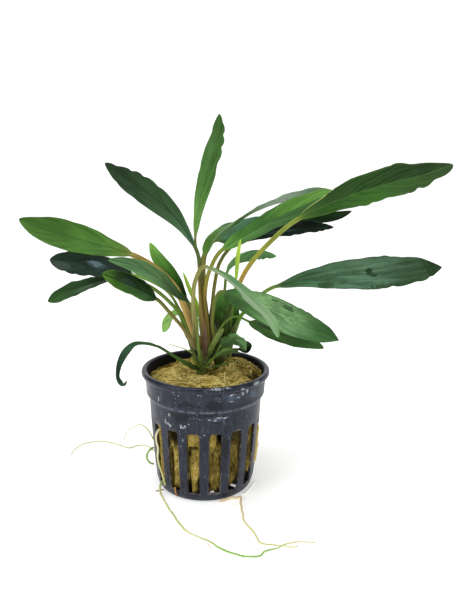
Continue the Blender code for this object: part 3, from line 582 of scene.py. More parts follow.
def wool_wall(bearing, height):
    """The plug's radius at a bearing and height, and how far it stands out or lies hollow there."""
    turned = np.degrees(bearing) - FRONT_SLOT
    number = np.rint(turned / SLOT_PITCH)
    aside = turned - number * SLOT_PITCH
    number = number.astype(int) % WALL_SLOTS
    opened = np.clip((SLOT_HALF - 0.3 - np.abs(aside)) / 2.0, 0.0, 1.0) ** 0.6
    swell = np.vectorize(lambda n: WOOL_SWELL.get(n, 0.25))(number)
    level = np.clip((height - 4.4) / 5.0, 0.0, 1.0) ** 0.6 * np.clip((31.6 - height) / 5.0, 0.0, 1.0) ** 0.6
    place = np.stack([WOOL_REACH * np.cos(bearing), WOOL_REACH * np.sin(bearing), height * 0.45], axis=-1)
    relief = swirl(place, 6.0, 11) * 0.42 + swirl(place, 2.2, 12) * 0.14 + swirl(place, 0.9, 13) * 0.05
    relief = relief * np.where((number == 3) | (number == 4), 0.35, 1.0)
    relief = np.where(opened > 0.5, relief, np.minimum(relief, 0.1))
    relief = relief - wool_marks(WOOL_CAVITIES, bearing, height)
    return pot_bore(height) - 0.55 + opened * level * swell + relief, relief


def wool_mound(x, y):
    """Height of the plug's top at a place, and how far it stands out or lies hollow there."""
    share = np.hypot(x, y) / (pot_bore(WOOL_SHOULDER) - WOOL_GAP)
    place = np.stack([x, y, 0.0 * x], axis=-1)
    relief = swirl(place, 7.0, 21) * 0.34 + swirl(place, 2.6, 22) * 0.13 + swirl(place, 1.0, 23) * 0.05
    drop = 2.0 * np.clip((share - 0.84) / 0.16, 0.0, 1.0) ** 2
    return wool_top(x, y) - drop + relief, relief


def top_stain_and_shade(x, y):
    """How dark, or with a minus how bright, the top of the wool is at a place: stains, painted shade and
    painted light.
    """
    total = 0.0 * x
    for sx, sy, wide, amount in WOOL_TOP_STAINS_AND_SHADE:
        total = total + amount * np.exp(-((x - sx) ** 2 + (y - sy) ** 2) / wide ** 2)
    return total


def wool_rows():
    """Rows of points over the plug, from the middle of its underside up the wall to the middle of its top."""
    bearing = np.linspace(0.0, 2.0 * math.pi, WOOL_AROUND, endpoint=False)
    number = np.rint((np.degrees(bearing) - FRONT_SLOT) / SLOT_PITCH).astype(int) % WALL_SLOTS
    feet = np.vectorize(lambda n: WOOL_FEET.get(n, 6.0))(number)
    feet = (np.roll(feet, 7) + feet + np.roll(feet, -7)) / 3.0 + 0.9 * np.sin(bearing * 23.0 + 1.0)
    ring = np.stack([np.cos(bearing), np.sin(bearing)], axis=1)
    rows = []
    depth = []
    dark = []
    foot_radius, foot_relief = wool_wall(bearing, feet)
    for share in np.linspace(0.0, 1.0, 16, endpoint=False):
        height = feet * share ** 5 + 1.3 * (1.0 - share ** 5)
        rows.append(np.column_stack([ring * (foot_radius * share)[:, None], height]))
        depth.append(foot_relief * share)
        # The underside of the plug is in painted shade.
        dark.append(0.9 + 0.0 * feet)
    for share in np.linspace(0.0, 1.0, 110):
        height = feet * (1.0 - share) + WOOL_SHOULDER * share
        radius, relief = wool_wall(bearing, height)
        radius = radius - 1.0 * np.exp(-(share / 0.03) ** 2)
        rows.append(np.column_stack([ring * radius[:, None], height]))
        depth.append(relief)
        # The side is a little darker throughout, with the marks' stains, painted light and painted shade.
        dark.append(0.3 + wool_marks(WOOL_STAINS_AND_SHADE, bearing, height))
    rim = pot_bore(WOOL_SHOULDER) - WOOL_GAP
    for share in np.linspace(1.0, 0.0, 72):
        x = ring[:, 0] * rim * share + STEM_PLACE[0] * (1.0 - share)
        y = ring[:, 1] * rim * share + STEM_PLACE[1] * (1.0 - share)
        level, relief = wool_mound(x, y)
        rows.append(np.column_stack([x, y, level]))
        depth.append(relief)
        dark.append(top_stain_and_shade(x, y))
    return np.array(rows), np.array(depth), np.array(dark)


def ramp_of(tree, share, stops):
    """A colour that runs through stops of (position, colour)."""
    band = add_node(tree, "ShaderNodeValToRGB", {"Fac": share})
    band.color_ramp.elements[0].position = stops[0][0]
    band.color_ramp.elements[0].color = stops[0][1]
    band.color_ramp.elements[1].position = stops[-1][0]
    band.color_ramp.elements[1].color = stops[-1][1]
    for position, tint in stops[1:-1]:
        band.color_ramp.elements.new(position).color = tint
    return band.outputs["Color"]


plug_rows, plug_relief, plug_stain_and_shade = wool_rows()
wool = wrap("rock_wool_plug", plug_rows, {"wool_relief": plug_relief, "wool_stain_and_shade": plug_stain_and_shade})
wool_finish, tree, shader = new_finish("spun_mineral_wool", paint(176, 140, 60))
place = add_node(tree, "ShaderNodeTexCoord").outputs["Object"]
fluff = grain_of(tree, place, 420.0, 6.0, 0.7, 0.6)
threads = grain_of(tree, stretched(tree, place, (1.0, 1.0, 0.4)), 2400.0, 4.0, 0.7, 1.5)
tone = sums(tree, "MULTIPLY_ADD", threads, 0.55, times(tree, fluff, 0.45))
colour = ramp_of(tree, tone, [
    (0.37, paint(50, 42, 20)), (0.45, paint(126, 110, 50)), (0.53, paint(178, 154, 74)),
    (0.62, paint(234, 210, 124))])
# Painted shade in the hollows of the wool's relief.
hollow = steps(tree, stored(tree, "wool_relief", "Fac"), -1.6, -0.25, 0.9, 0.0)
colour = over(tree, hollow, colour, paint(34, 26, 12))
moss = steps(tree, grain_of(tree, place, 110.0), 0.56, 0.7, 0.0, 0.35)
colour = over(tree, moss, colour, paint(112, 108, 42))
# Stains with painted shade, and with a minus painted light, from the marks.
stain_and_shade = sums(tree, "MULTIPLY_ADD", sums(tree, "SUBTRACT", fluff, 0.5), 1.2,
             stored(tree, "wool_stain_and_shade", "Fac"))
colour = over(tree, steps(tree, stain_and_shade, 0.0, 1.0, 0.0, 0.85), colour, paint(44, 34, 16))
colour = over(tree, steps(tree, stain_and_shade, -0.1, -1.1, 0.0, 0.8), colour, paint(226, 200, 138))
wire(tree, shader, {"Base Color": colour, "Roughness": 0.95, "Specular IOR Level": 0.2,
                    "Normal": relief_on(tree, tone, 0.9, 0.0002)})
wool.data.materials.append(wool_finish)
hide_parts("rock_wool")
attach(wool, "root")

# Loose fibres of the wool: spun threads that stand off the plug, matted flat on its top and
# combed mostly upright behind the slots, where the blade that cut the plug pulled them.
FIBRE_STEPS = 7
TOP_FIBRES = 3300
FIBRE_FIELD = 24.0
FIBRE_RIM = 24.9
SLOT_FIBRES = {13: 60, 14: 130, 15: 150, 0: 150, 1: 110, 2: 90, 3: 30, 12: 30}
STRAWS = [((8.6, -17.9), 80.0, 0.22, 5.2), ((9.5, -5.3), 100.0, 0.16, 3.4), ((10.4, -5.6), 60.0, 0.2, 4.6),
          ((11.3, -4.4), 120.0, 0.16, 3.8), ((12.1, -3.0), 80.0, 0.2, 4.4), ((12.8, -0.4), 50.0, 0.16, 3.2),
          ((7.4, -11.0), 150.0, 0.14, 2.8)]
chance = np.random.default_rng(77)
share = np.linspace(0.0, 1.0, FIBRE_STEPS)
lines = []
thickness = []
shade = []
for number in range(TOP_FIBRES + len(STRAWS)):
    if number < TOP_FIBRES:
        reach = FIBRE_FIELD * math.sqrt(chance.uniform(0.0, 1.0))
        bearing = chance.uniform(0.0, 2.0 * math.pi)
        start = np.array([reach * math.cos(bearing), reach * math.sin(bearing)])
        heading = chance.uniform(0.0, 2.0 * math.pi)
        long = chance.uniform(2.0, 7.0)
        rise = 0.12 + 0.7 * chance.uniform() ** 2.5
        thin = 0.05 + 0.14 * chance.uniform() ** 2
    else:
        start, heading, thin, rise = STRAWS[number - TOP_FIBRES]
        start = np.array(start)
        heading = math.radians(heading)
        long = 1.2
    bend = heading + chance.normal(0.0, 0.8) * share
    step = long / (FIBRE_STEPS - 1)
    x = start[0] + np.concatenate([[0.0], np.cumsum(np.cos(bend[1:]) * step)])
    y = start[1] + np.concatenate([[0.0], np.cumsum(np.sin(bend[1:]) * step)])
    past_rim = np.maximum(np.hypot(x, y) / FIBRE_RIM, 1.0)
    x = x / past_rim
    y = y / past_rim
    level, relief = wool_mound(x, y)
    turned = chance.uniform(0.6, 1.1) if number < TOP_FIBRES else 0.5
    z = level + 0.05 + rise * np.sin(share * math.pi * turned)
    lines.append(np.column_stack([x, y, z]))
    thickness.append(thin)
    # Each fibre's tone: random, with the marks' stains, painted light and painted shade, and painted shade in
    # hollows and painted light on lumps.
    bright = 0.95
    if number < TOP_FIBRES:
        bright = chance.normal(0.68, 0.34) - 0.9 * top_stain_and_shade(x, y).mean()
    shade.append(np.clip(bright + 0.25 * relief.mean(), 0.0, 1.0))
for slot_number, count in SLOT_FIBRES.items():
    for _ in range(count):
        at_side = chance.uniform(-5.2, 5.2)
        foot = WOOL_FEET.get(slot_number, 6.0) - 1.0
        low = chance.uniform(foot, 28.0)
        long = chance.uniform(3.0, 9.0)
        lean = chance.normal(0.0, 0.28) + (0.45 if slot_number in (14, 15) and low < 18.0 else 0.0)
        height = np.clip(low + long * share * math.cos(lean), 4.5, 31.2)
        sideways = long * share * math.sin(lean) + 0.2 * np.sin(share * 3.0 + chance.uniform(0.0, 6.0))
        turned = np.clip(at_side + np.degrees(sideways / WOOL_REACH), -5.7, 5.7)
        bearing = np.radians(FRONT_SLOT + slot_number * SLOT_PITCH + turned)
        radius, relief = wool_wall(bearing, height)
        radius = radius + 0.06 + 0.5 * chance.uniform() ** 2 * np.sin(share * math.pi)
        lines.append(np.column_stack([radius * np.cos(bearing), radius * np.sin(bearing), height]))
        thickness.append(chance.uniform(0.035, 0.08))
        # Slot fibres take the side's stains, painted light and shade, and painted shade in hollows and
        # painted light on lumps.
        dark = 0.3 + wool_marks(WOOL_STAINS_AND_SHADE, bearing, height).mean()
        shade.append(np.clip(chance.normal(0.62, 0.2) - 0.6 * dark + 0.25 * relief.mean(), 0.0, 1.0))
lines = np.array(lines)
thickness = np.array(thickness)
tangent = unit_rows(np.gradient(lines, axis=1))
upward = unit_rows(np.cross(tangent, (0.31, 0.47, 0.83)))
sideway = np.cross(tangent, upward)
girth = thickness[:, None] * np.array([0.3, 0.8, 1.0, 1.0, 1.0, 0.8, 0.2])[None, :]
rings = []
for corner in range(3):
    turn = corner * 2.0 * math.pi / 3.0
    rings.append(lines + (upward * math.cos(turn) + sideway * math.sin(turn)) * girth[:, :, None])
rings = np.stack(rings, axis=2)
first = (np.arange(len(lines)) * FIBRE_STEPS * 3)[:, None, None]
ring = (np.arange(FIBRE_STEPS - 1) * 3)[None, :, None]
corner = np.arange(3)[None, None, :]
beside = (corner + 1) % 3
walls = np.stack([first + ring + corner, first + ring + beside, first + ring + 3 + beside,
                  first + ring + 3 + corner], axis=-1).reshape(-1, 4)
last = (FIBRE_STEPS - 1) * 3
ends = np.concatenate([first[:, 0] + [2, 1, 0], first[:, 0] + last + [0, 1, 2]])
bpy.ops.object.select_all(action="DESELECT")
fuzz_mesh = bpy.data.meshes.new("wool_fibres")
fuzz_mesh.from_pydata((rings.reshape(-1, 3) * MM).tolist(), [], walls.tolist() + ends.tolist())
fuzz_mesh.shade_smooth()
fuzz = bpy.data.objects.new("wool_fibres", fuzz_mesh)
bpy.context.collection.objects.link(fuzz)
tint = fuzz_mesh.attributes.new("fibre_shade", "FLOAT", "POINT")
tint.data.foreach_set("value", np.repeat(np.array(shade), FIBRE_STEPS * 3))
fibre_finish, tree, shader = new_finish("loose_wool_fibre", paint(180, 156, 80))
place = add_node(tree, "ShaderNodeTexCoord").outputs["Object"]
cloud = sums(tree, "SUBTRACT", grain_of(tree, place, 300.0, 4.0), 0.5)
tone = sums(tree, "MULTIPLY_ADD", cloud, 1.6, stored(tree, "fibre_shade", "Fac"))
colour = ramp_of(tree, tone, [
    (0.0, paint(58, 48, 20)), (0.35, paint(146, 124, 50)), (0.7, paint(232, 204, 98)),
    (1.0, paint(255, 240, 166))])
wire(tree, shader, {"Base Color": colour, "Roughness": 0.8, "Specular IOR Level": 0.2})
fuzz_mesh.materials.append(fibre_finish)
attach(fuzz, "root")

# Crowns: the short stem that the leaves grow from, and the smaller side shoot behind it. Each is
# wrapped in ribbed leaf sheaths, olive green above and brown where it enters the wool.
CROWN_AROUND = 72
CROWNS = {
    "main": {"node": "crown_main", "axis": [(-1.7, -3.4, 48.5), (-1.7, -3.4, 52.0), (-1.4, -3.2, 55.0),
                                            (-0.8, -2.4, 58.0), (-0.7, -2.0, 61.3)],
             "radius": [1.8, 2.2, 2.5, 2.7, 1.9]},
    "side": {"node": "crown_side", "axis": [(7.6, 5.8, 49.5), (8.0, 6.0, 52.5), (8.4, 6.2, 56.0),
                                            (8.8, 6.4, 59.0), (9.0, 6.5, 61.9)],
             "radius": [1.2, 1.7, 2.2, 2.1, 1.3]},
}


def ease(stations, values, wanted):
    """A smooth curve through values at stations, read at the wanted places."""
    x = np.asarray(stations, float)
    y = np.asarray(values, float)
    single = y.ndim == 1
    y = y[:, None] if single else y
    gap = np.diff(x)[:, None]
    slope = np.diff(y, axis=0) / gap
    inner = (slope[:-1] * gap[1:] + slope[1:] * gap[:-1]) / (gap[:-1] + gap[1:])
    tangent = np.vstack([slope[:1], inner, slope[-1:]])
    span = np.clip(np.searchsorted(x, wanted, side="right") - 1, 0, len(x) - 2)
    h = gap[span]
    t = (np.asarray(wanted) - x[span])[:, None] / h
    curve = ((2 * t ** 3 - 3 * t ** 2 + 1) * y[span] + (t ** 3 - 2 * t ** 2 + t) * h * tangent[span]
             + (3 * t ** 2 - 2 * t ** 3) * y[span + 1] + (t ** 3 - t ** 2) * h * tangent[span + 1])
    return curve[:, 0] if single else curve


def run_of(points):
    """Distance along a line of points, from its start."""
    hops = np.linalg.norm(np.diff(points, axis=0), axis=1)
    return np.concatenate([[0.0], np.cumsum(hops)])


def carried_frames(points, hint):
    """Tangent, up and side along a line, with up kept as near as it can be to the hint."""
    tangent = unit_rows(np.gradient(points, axis=0))
    hint = np.broadcast_to(np.asarray(hint, float), points.shape)
    up = unit_rows(hint - tangent * (hint * tangent).sum(axis=1, keepdims=True))
    return tangent, up, np.cross(tangent, up)


def tube(points, side, up, angle, spread, deep=1.0):
    """Rows of points once round a line, at a distance that may differ all round, pressed flat by deep."""
    return (points[:, None, :] + side[:, None, :] * (np.cos(angle)[None, :] * spread)[:, :, None]
            + up[:, None, :] * (np.sin(angle)[None, :] * spread * deep)[:, :, None])


crown_finish, tree, shader = new_finish("ribbed_crown_sheath", paint(84, 104, 42))
place = add_node(tree, "ShaderNodeTexCoord").outputs["Object"]
kind = xyz(tree, stored(tree, "sheath_part"))
streak = grain_of(tree, stretched(tree, place, (700.0, 700.0, 60.0)), 1.0, 4.0, 0.65)
colour = ramp_of(tree, kind["X"], [
    (0.0, paint(26, 34, 18)), (0.25, paint(58, 64, 32)), (0.5, paint(92, 106, 46)),
    (0.75, paint(116, 152, 60)), (1.0, paint(128, 92, 76))])
colour = over(tree, steps(tree, kind["Z"], 0.0, 0.4, 0.6, 0.0), colour, paint(52, 60, 28))
level = times(tree, xyz(tree, place)["Z"], 420.0)
level = sums(tree, "MULTIPLY_ADD", grain_of(tree, place, 300.0), 2.0, level)
joint = steps(tree, sums(tree, "PINGPONG", level, 0.5), 0.0, 0.12, 0.4, 0.0)
joint = times(tree, joint, steps(tree, kind["X"], 0.4, 0.44))
colour = over(tree, joint, colour, paint(156, 164, 92))
colour = over(tree, steps(tree, streak, 0.5, 0.66, 0.0, 0.5), colour, paint(48, 50, 24))
colour = over(tree, steps(tree, streak, 0.45, 0.34, 0.0, 0.25), colour, paint(136, 150, 78))
margin = times(tree, steps(tree, kind["Y"], 0.7, 0.98, 0.0, 0.4), steps(tree, kind["X"], 0.1, 0.5))
colour = over(tree, margin, colour, paint(134, 156, 84))
wire(tree, shader, {"Base Color": colour, "Roughness": 0.45, "Specular IOR Level": 0.25,
                    "Normal": relief_on(tree, streak, 0.7, 0.0001)})
SHEATHS = {
    "main": [([(-1.6, -5.6, 53.0), (-2.0, -6.6, 59.3), (-2.7, -8.0, 63.5), (-3.0, -9.0, 69.1),
               (-3.2, -9.0, 74.8), (-3.8, -8.4, 81.0), (-4.6, -8.0, 86.0)], 0.66, 0.72, 2.2),
             ([(0.4, 0.0, 56.0), (0.8, 1.0, 62.0), (1.1, 2.0, 68.0), (1.5, 2.6, 74.0), (1.8, 3.0, 81.0)],
              1.0, 0.35, 2.2),
             ([(-0.4, -4.5, 58.0), (-0.3, -4.9, 61.6), (-0.1, -5.4, 66.2), (-0.2, -5.4, 71.6),
               (-0.7, -4.4, 77.2)], 1.25, 1.0, 2.2),
             ([(1.0, -2.0, 54.0), (2.2, -0.6, 60.0), (3.0, 1.0, 66.0), (4.0, 2.5, 73.0)], 1.3, 0.15, 2.2),
             ([(1.5, -4.8, 59.5), (2.4, -7.0, 63.4), (4.2, -9.6, 67.6), (6.2, -10.6, 71.4),
               (8.0, -11.0, 74.0)], 0.95, 0.57, 18.0),
             ([(-1.8, -4.0, 53.0), (-4.0, -4.6, 58.0), (-6.6, -4.4, 65.0), (-9.0, -4.0, 72.0)], 0.9, 0.5,
              2.2)],
    "side": [([(7.6, 3.0, 50.5), (6.6, 2.8, 58.0), (4.6, 2.0, 66.0), (1.8, 1.0, 76.0)], 2.4, 0.4, 2.2),
             ([(8.6, 3.4, 50.5), (9.4, 3.4, 59.0), (11.2, 3.6, 66.0), (14.6, 4.2, 75.0)], 2.0, 0.45, 2.2),
             ([(6.4, 4.4, 50.5), (5.2, 4.4, 60.0), (4.6, 4.6, 67.0), (4.7, 4.8, 74.0)], 2.4, 0.24, 2.2),
             ([(8.2, 5.2, 50.5), (8.0, 5.2, 60.0), (8.2, 5.4, 66.0), (8.5, 5.6, 72.0)], 2.4, 0.3, 2.2)],
}
angle = np.linspace(0.0, 2.0 * math.pi, CROWN_AROUND, endpoint=False)
for title, crown in CROWNS.items():
    skins = [(crown["axis"], None, 0.45 if title == "main" else 0.3, 0.0)] + SHEATHS[title]
    grown = []
    for number, (route, broad, tint, blunt) in enumerate(skins):
        route = np.array(route)
        far = run_of(route)
        reach = np.linspace(0.0, far[-1], 40)
        share = reach / far[-1]
        points = ease(far, route, reach)
        tangent, up, side = carried_frames(points, (0.0, -1.0, 0.0))
        rib_depth = 0.05 if broad is None else 0.03
        ribbed = rib_depth * np.abs(np.sin(angle * 5.5 + number))[None, :]
        ribs = 1.0 + ribbed * np.sin(share * math.pi)[:, None]
        ribs = ribs + 0.05 * np.sin(angle * 2.0 + 1.3)[None, :]
        if broad is None:
            radius = ease(far, crown["radius"], reach)
            deep = 1.0
        else:
            radius = broad * np.sqrt(np.clip(share * 6.0, 0.0, 1.0)) * (1.0 - share ** blunt) ** 0.8
            deep = 0.55
        radius[[0, -1]] = 0.0
        spread = radius[:, None] * ribs
        rows = tube(points, side, up, angle, spread, deep)
        edge = np.abs(np.cos(angle))[None, :] * (radius > 0.0)[:, None] * (0.3 if broad is None else 1.0)
        part = np.stack([np.full(spread.shape, tint), edge, share[:, None] + 0.0 * spread], axis=2)
        grown.append(wrap(f"sheathed_{crown['node']}", rows, {"sheath_part": part}))
    for skin in grown:
        skin.select_set(True)
    bpy.context.view_layer.objects.active = grown[0]
    bpy.ops.object.join()
    stem = grown[0]
    stem.data.materials.append(crown_finish)
    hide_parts(crown["node"])
    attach(stem, "root")


# Leaves, how each is made: a round channelled stalk runs on as the midrib of a thin lance-shaped
# blade, grown as one piece. Its line, width and facing are those of its solid; its foot widens to a
# sheath that goes down into the crown. The skin is mapped by mm across and along from the blade's base.
LEAF_AROUND = 44
BLADE_THICK = 0.16
LANCE_BASE = 0.95
BLADE_RINGS = 9
CROWN_NECK = 58.0
STALK_FLOOR = 50.5


def leaf_rings(node):
    """The rings of eight points of a leaf's solid, foot first, and the point of its tip, in mm."""
    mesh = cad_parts[node].data
    spots = np.array([v.co[:] for v in mesh.vertices]) / MM
    _, first, same = np.unique(np.rint(spots * 1000.0), axis=0, return_index=True, return_inverse=True)
    same = same.ravel()
    near = {k: set() for k in range(len(first))}
    for face in mesh.polygons:
        corners = [int(same[v]) for v in face.vertices]
        for corner in corners:
            near[corner].update(corners)
    for tip in near:
        rings = [[tip]]
        seen = {tip}
        while rings[-1]:
            beyond = set().union(*(near[v] for v in rings[-1])) - seen
            seen |= beyond
            rings.append(sorted(beyond))
        rings.pop()
        if len(rings) > 8 and all(len(ring) == 8 for ring in rings[1:]):
            break
    rings.reverse()
    return [spots[first[ring]] for ring in rings[:-1]], spots[first[tip]]


def leaf_line(node):
    """A leaf's midrib points, half widths and stalk radii, upper-face directions, and where its blade
    starts."""
    rings, tip = leaf_rings(node)
    blade = len(rings) - BLADE_RINGS
    centre, wide, up = [], [], []
    for number, ring in enumerate(rings):
        if number <= blade:
            middle = ring.mean(axis=0)
            centre.append(middle)
            wide.append(np.linalg.norm(ring - middle, axis=1).mean())
            up.append(None)
            continue
        long_way = np.linalg.svd(ring - ring.mean(axis=0))[2][0]
        ordered = ring[np.argsort(ring @ long_way)]
        middle = (ordered[3] + ordered[4]) / 2.0
        raised = (ordered[0] + ordered[7]) / 2.0 - middle
        centre.append(middle)
        wide.append(np.linalg.norm(ordered[7] - ordered[0]) / 2.0)
        up.append(raised / np.linalg.norm(raised))
    centre.append(tip)
    centre = np.array(centre)
    up.append(up[-1])
    tangent = unit_rows(np.gradient(centre, axis=0))
    for number in range(blade, -1, -1):
        carried = up[number + 1] - tangent[number] * np.dot(up[number + 1], tangent[number])
        up[number] = carried / np.linalg.norm(carried)
    return centre, np.array(wide + [0.0]), np.array(up), blade


def sheath_line(foot, crown):
    """Points by which a stalk's foot goes down into its crown, and where the foot itself then is."""
    axis = np.array(CROWNS[crown]["axis"])
    heights = axis[:, 2]

    def on_axis(height):
        return np.array([*(np.interp(height, heights, axis[:, way]) for way in (0, 1)), height])

    out = foot - on_axis(foot[2])
    out[2] = 0.0
    pull = 0.62 if np.linalg.norm(out) < 3.4 else 1.0
    low = max(foot[2] - (8.5 if foot[2] > CROWN_NECK else 1.8), STALK_FLOOR)
    middle = (foot[2] + low) / 2.0
    down = [on_axis(low) + out * 0.22 * pull, on_axis(middle) + out * 0.45 * pull]
    return down, on_axis(foot[2]) + out * pull


def grow_leaf(node, crown="main", ruffle=0.035, wave=13.0, quilt=0.10, cup=0.12, bites=(), scallops=(),
              broad=((0.0, 1.0),), tip=(0.72, 0.72), foot=(1.5, 24.0), stalk_full=1.0, nudges=(), seed=1):
    """One leaf as a closed skin. ruffle is how far its margin waves, as a share of the half width,
    and wave the length of a wave in mm. quilt is the relief between its side veins in mm, cup how far
    the margins rise. bites are (side, share along, share of the width, length in mm) and scallops
    (side, from, to, depth in mm, pitch in mm). broad widens the blade by share along, tip is how
    pointed its two sides end, foot how much wider the stalk is at its foot and over how many mm,
    nudges are (mm along, over mm, shift) by which it gives way to the stalks beside it, those with
    a minus counted back from the tip."""
    centre, wide, up, blade = leaf_line(node)
    chance = np.random.default_rng(seed)
    extra, low = sheath_line(centre[0], crown)
    centre[0] = low
    line = np.vstack([extra, centre])
    first = blade + len(extra)
    far = run_of(line)
    stalk_end = far[first]
    blade_long = far[-1] - stalk_end
    stalk_rows = max(14, int(stalk_end / 1.1))
    blade_rows = max(50, int(blade_long / 0.6))
    even = np.linspace(0.0, 1.0, blade_rows + 1)
    packed = (1.0 - np.cos(even * math.pi)) / 2.0
    shares = 0.75 * even + 0.25 * packed
    reach = np.concatenate([np.linspace(0.0, stalk_end, stalk_rows, endpoint=False),
                            stalk_end + blade_long * shares])
    share = np.clip((reach - stalk_end) / blade_long, 0.0, 1.0)
    points = ease(far, line, reach)
    for where, over_mm, shift in nudges:
        where = where if where >= 0.0 else far[-1] + where
        points = points + np.exp(-((reach[:, None] - where) / over_mm) ** 2) * np.array(shift)
    faces = ease(far, np.vstack([up[:1]] * len(extra) + [up]), reach)
    tangent = unit_rows(np.gradient(points, axis=0))
    face = unit_rows(faces - tangent * (faces * tangent).sum(axis=1, keepdims=True))
    side = np.cross(tangent, face)

    at = (far[first:] - stalk_end) / blade_long
    stalk_radius = float(wide[min(3, blade)]) * stalk_full
    widen = (foot[0] - 1.0) * np.clip(1.0 - reach / foot[1], 0.0, 1.0) ** 0.8
    radius = stalk_radius * (1.0 + widen) * (1.0 - 0.12 * reach / max(stalk_end, 1.0))
    radius = np.where(reach < 3.0, radius * (0.45 + 0.55 * reach / 3.0), radius)
    collar = stalk_radius * 0.88
    along = (reach - stalk_end)[:, None]
    sides = []
    for sign, power in ((-1, tip[0]), (1, tip[1])):
        shape = np.maximum(at, 1e-6) ** LANCE_BASE * np.maximum(1.0 - at, 1e-6) ** power
        ratio = wide[blade:] / shape
        ratio[0] = ratio[1]
        ratio[-1] = ratio[-2]
        half = ease(at, ratio, share) * np.maximum(share, 1e-6) ** LANCE_BASE * (1.0 - share) ** power
        half = half * np.interp(share, [stop for stop, _ in broad], [factor for _, factor in broad])
        for nick_side, where, depth, length in bites:
            if nick_side == sign:
                half = half * (1.0 - depth * np.exp(-(((share - where) * blade_long / length) ** 2)))
        for nick_side, start, stop, depth, pitch in scallops:
            if nick_side == sign:
                phase = along[:, 0] / pitch + 0.35 * np.sin(along[:, 0] / pitch * 1.7 + seed)
                edge_on = (np.clip((share - start) * 20.0, 0.0, 1.0)
                           * np.clip((stop - share) * 20.0, 0.0, 1.0))
                half = half - depth * edge_on * (0.5 + 0.5 * np.cos(phase * 2.0 * math.pi)) ** 2
        half = np.maximum(half, 0.02) * (share < 1.0)
        sides.append(np.hypot(half, collar * np.clip(1.0 - 5.0 * share, 0.0, 1.0)))
    half = (sides[0] + sides[1]) / 2.0
    flat = np.clip(share / 0.07, 0.0, 1.0)
    flat = flat * flat * (3.0 - 2.0 * flat)
    keel = collar * 0.85 * (1.0 - share) ** 0.9
    thin = BLADE_THICK * np.minimum(1.0, np.sqrt((1.0 - share) * blade_long / 2.5))

    turn = np.linspace(0.0, 2.0 * math.pi, LEAF_AROUND, endpoint=False)
    folded = np.where(turn <= math.pi, turn, 2.0 * math.pi - turn)
    even_u = 1.0 - 2.0 * folded / math.pi
    even_u = np.sign(even_u) * np.abs(even_u) ** 1.25
    u = 0.7 * even_u + 0.3 * np.cos(turn)
    above = np.where(turn <= math.pi, 1.0, -1.0)
    above[np.abs(np.sin(turn)) < 1e-9] = 0.0
    s = share[:, None]
    width = np.where(u[None, :] < 0.0, sides[0][:, None], sides[1][:, None])
    x = width * u[None, :]
    edge = np.abs(u)[None, :]
    phase = chance.uniform(0.0, 6.28, 4)
    swing = np.sin(along * 2.0 * math.pi / wave + phase[0] + np.where(u[None, :] < 0.0, phase[1], 0.0))
    swing = swing + 0.5 * np.sin(along * 2.0 * math.pi / (wave * 0.43) + phase[2])
    fade = np.clip(s * 6.0, 0.0, 1.0) * np.clip((1.0 - s) * 5.0, 0.0, 1.0)
    lift = cup * half[:, None] * (edge ** 1.5) * flat[:, None]
    lift = lift + ruffle * half[:, None] * edge ** 2.2 * swing * fade
    quilted = quilt * 0.4 * np.sin((edge ** 1.2 * 2.0 - s * 4.0) * 2.0 * math.pi)
    lift = lift + quilted * fade * (1.0 - edge ** 6)
    flat_place = np.stack(np.broadcast_arrays(x, along), axis=2)
    lift = lift + 0.05 * half[:, None] * swirl(flat_place, 15.0, seed + 40, 6) * fade * edge
    lift = lift - 0.16 * np.exp(-(x / 0.45) ** 2) * np.clip(keel, 0.0, 0.4)[:, None] * 2.0
    rim_thin = np.sqrt(np.clip(1.0 - edge ** 6, 0.0, 1.0))
    rib = keel[:, None] * np.exp(-(x / (0.75 * keel[:, None] + 0.05)) ** 2) * 1.15
    rise_top = lift + thin[:, None] * rim_thin
    rise_under = lift - thin[:, None] * rim_thin - rib
    rise = np.where(above[None, :] > 0.0, rise_top, np.where(above[None, :] < 0.0, rise_under, lift))
    groove = 1.0 - (0.22 + 0.3 * widen[:, None]) * np.exp(-((turn - math.pi / 2.0) / 0.45) ** 2)[None, :]
    round_x = radius[:, None] * np.cos(turn)[None, :]
    round_z = radius[:, None] * np.sin(turn)[None, :] * groove
    across = round_x * (1.0 - flat[:, None]) + x * flat[:, None]
    rise = round_z * (1.0 - flat[:, None]) + rise * flat[:, None]
    for end in (0, -1):
        across[end] = 0.0
        rise[end] = 0.0
    rows = points[:, None, :] + side[:, None, :] * across[:, :, None] + face[:, None, :] * rise[:, :, None]
    mm_map = np.stack(np.broadcast_arrays(across, along, above[None, :]), axis=2)
    grown = np.clip(reach / stalk_end, 0.0, 1.0)[:, None]
    share_map = np.stack(np.broadcast_arrays(u[None, :], s, grown), axis=2)
    return wrap(f"{node}_blade", rows, {"leaf_mm": mm_map, "leaf_share": share_map})


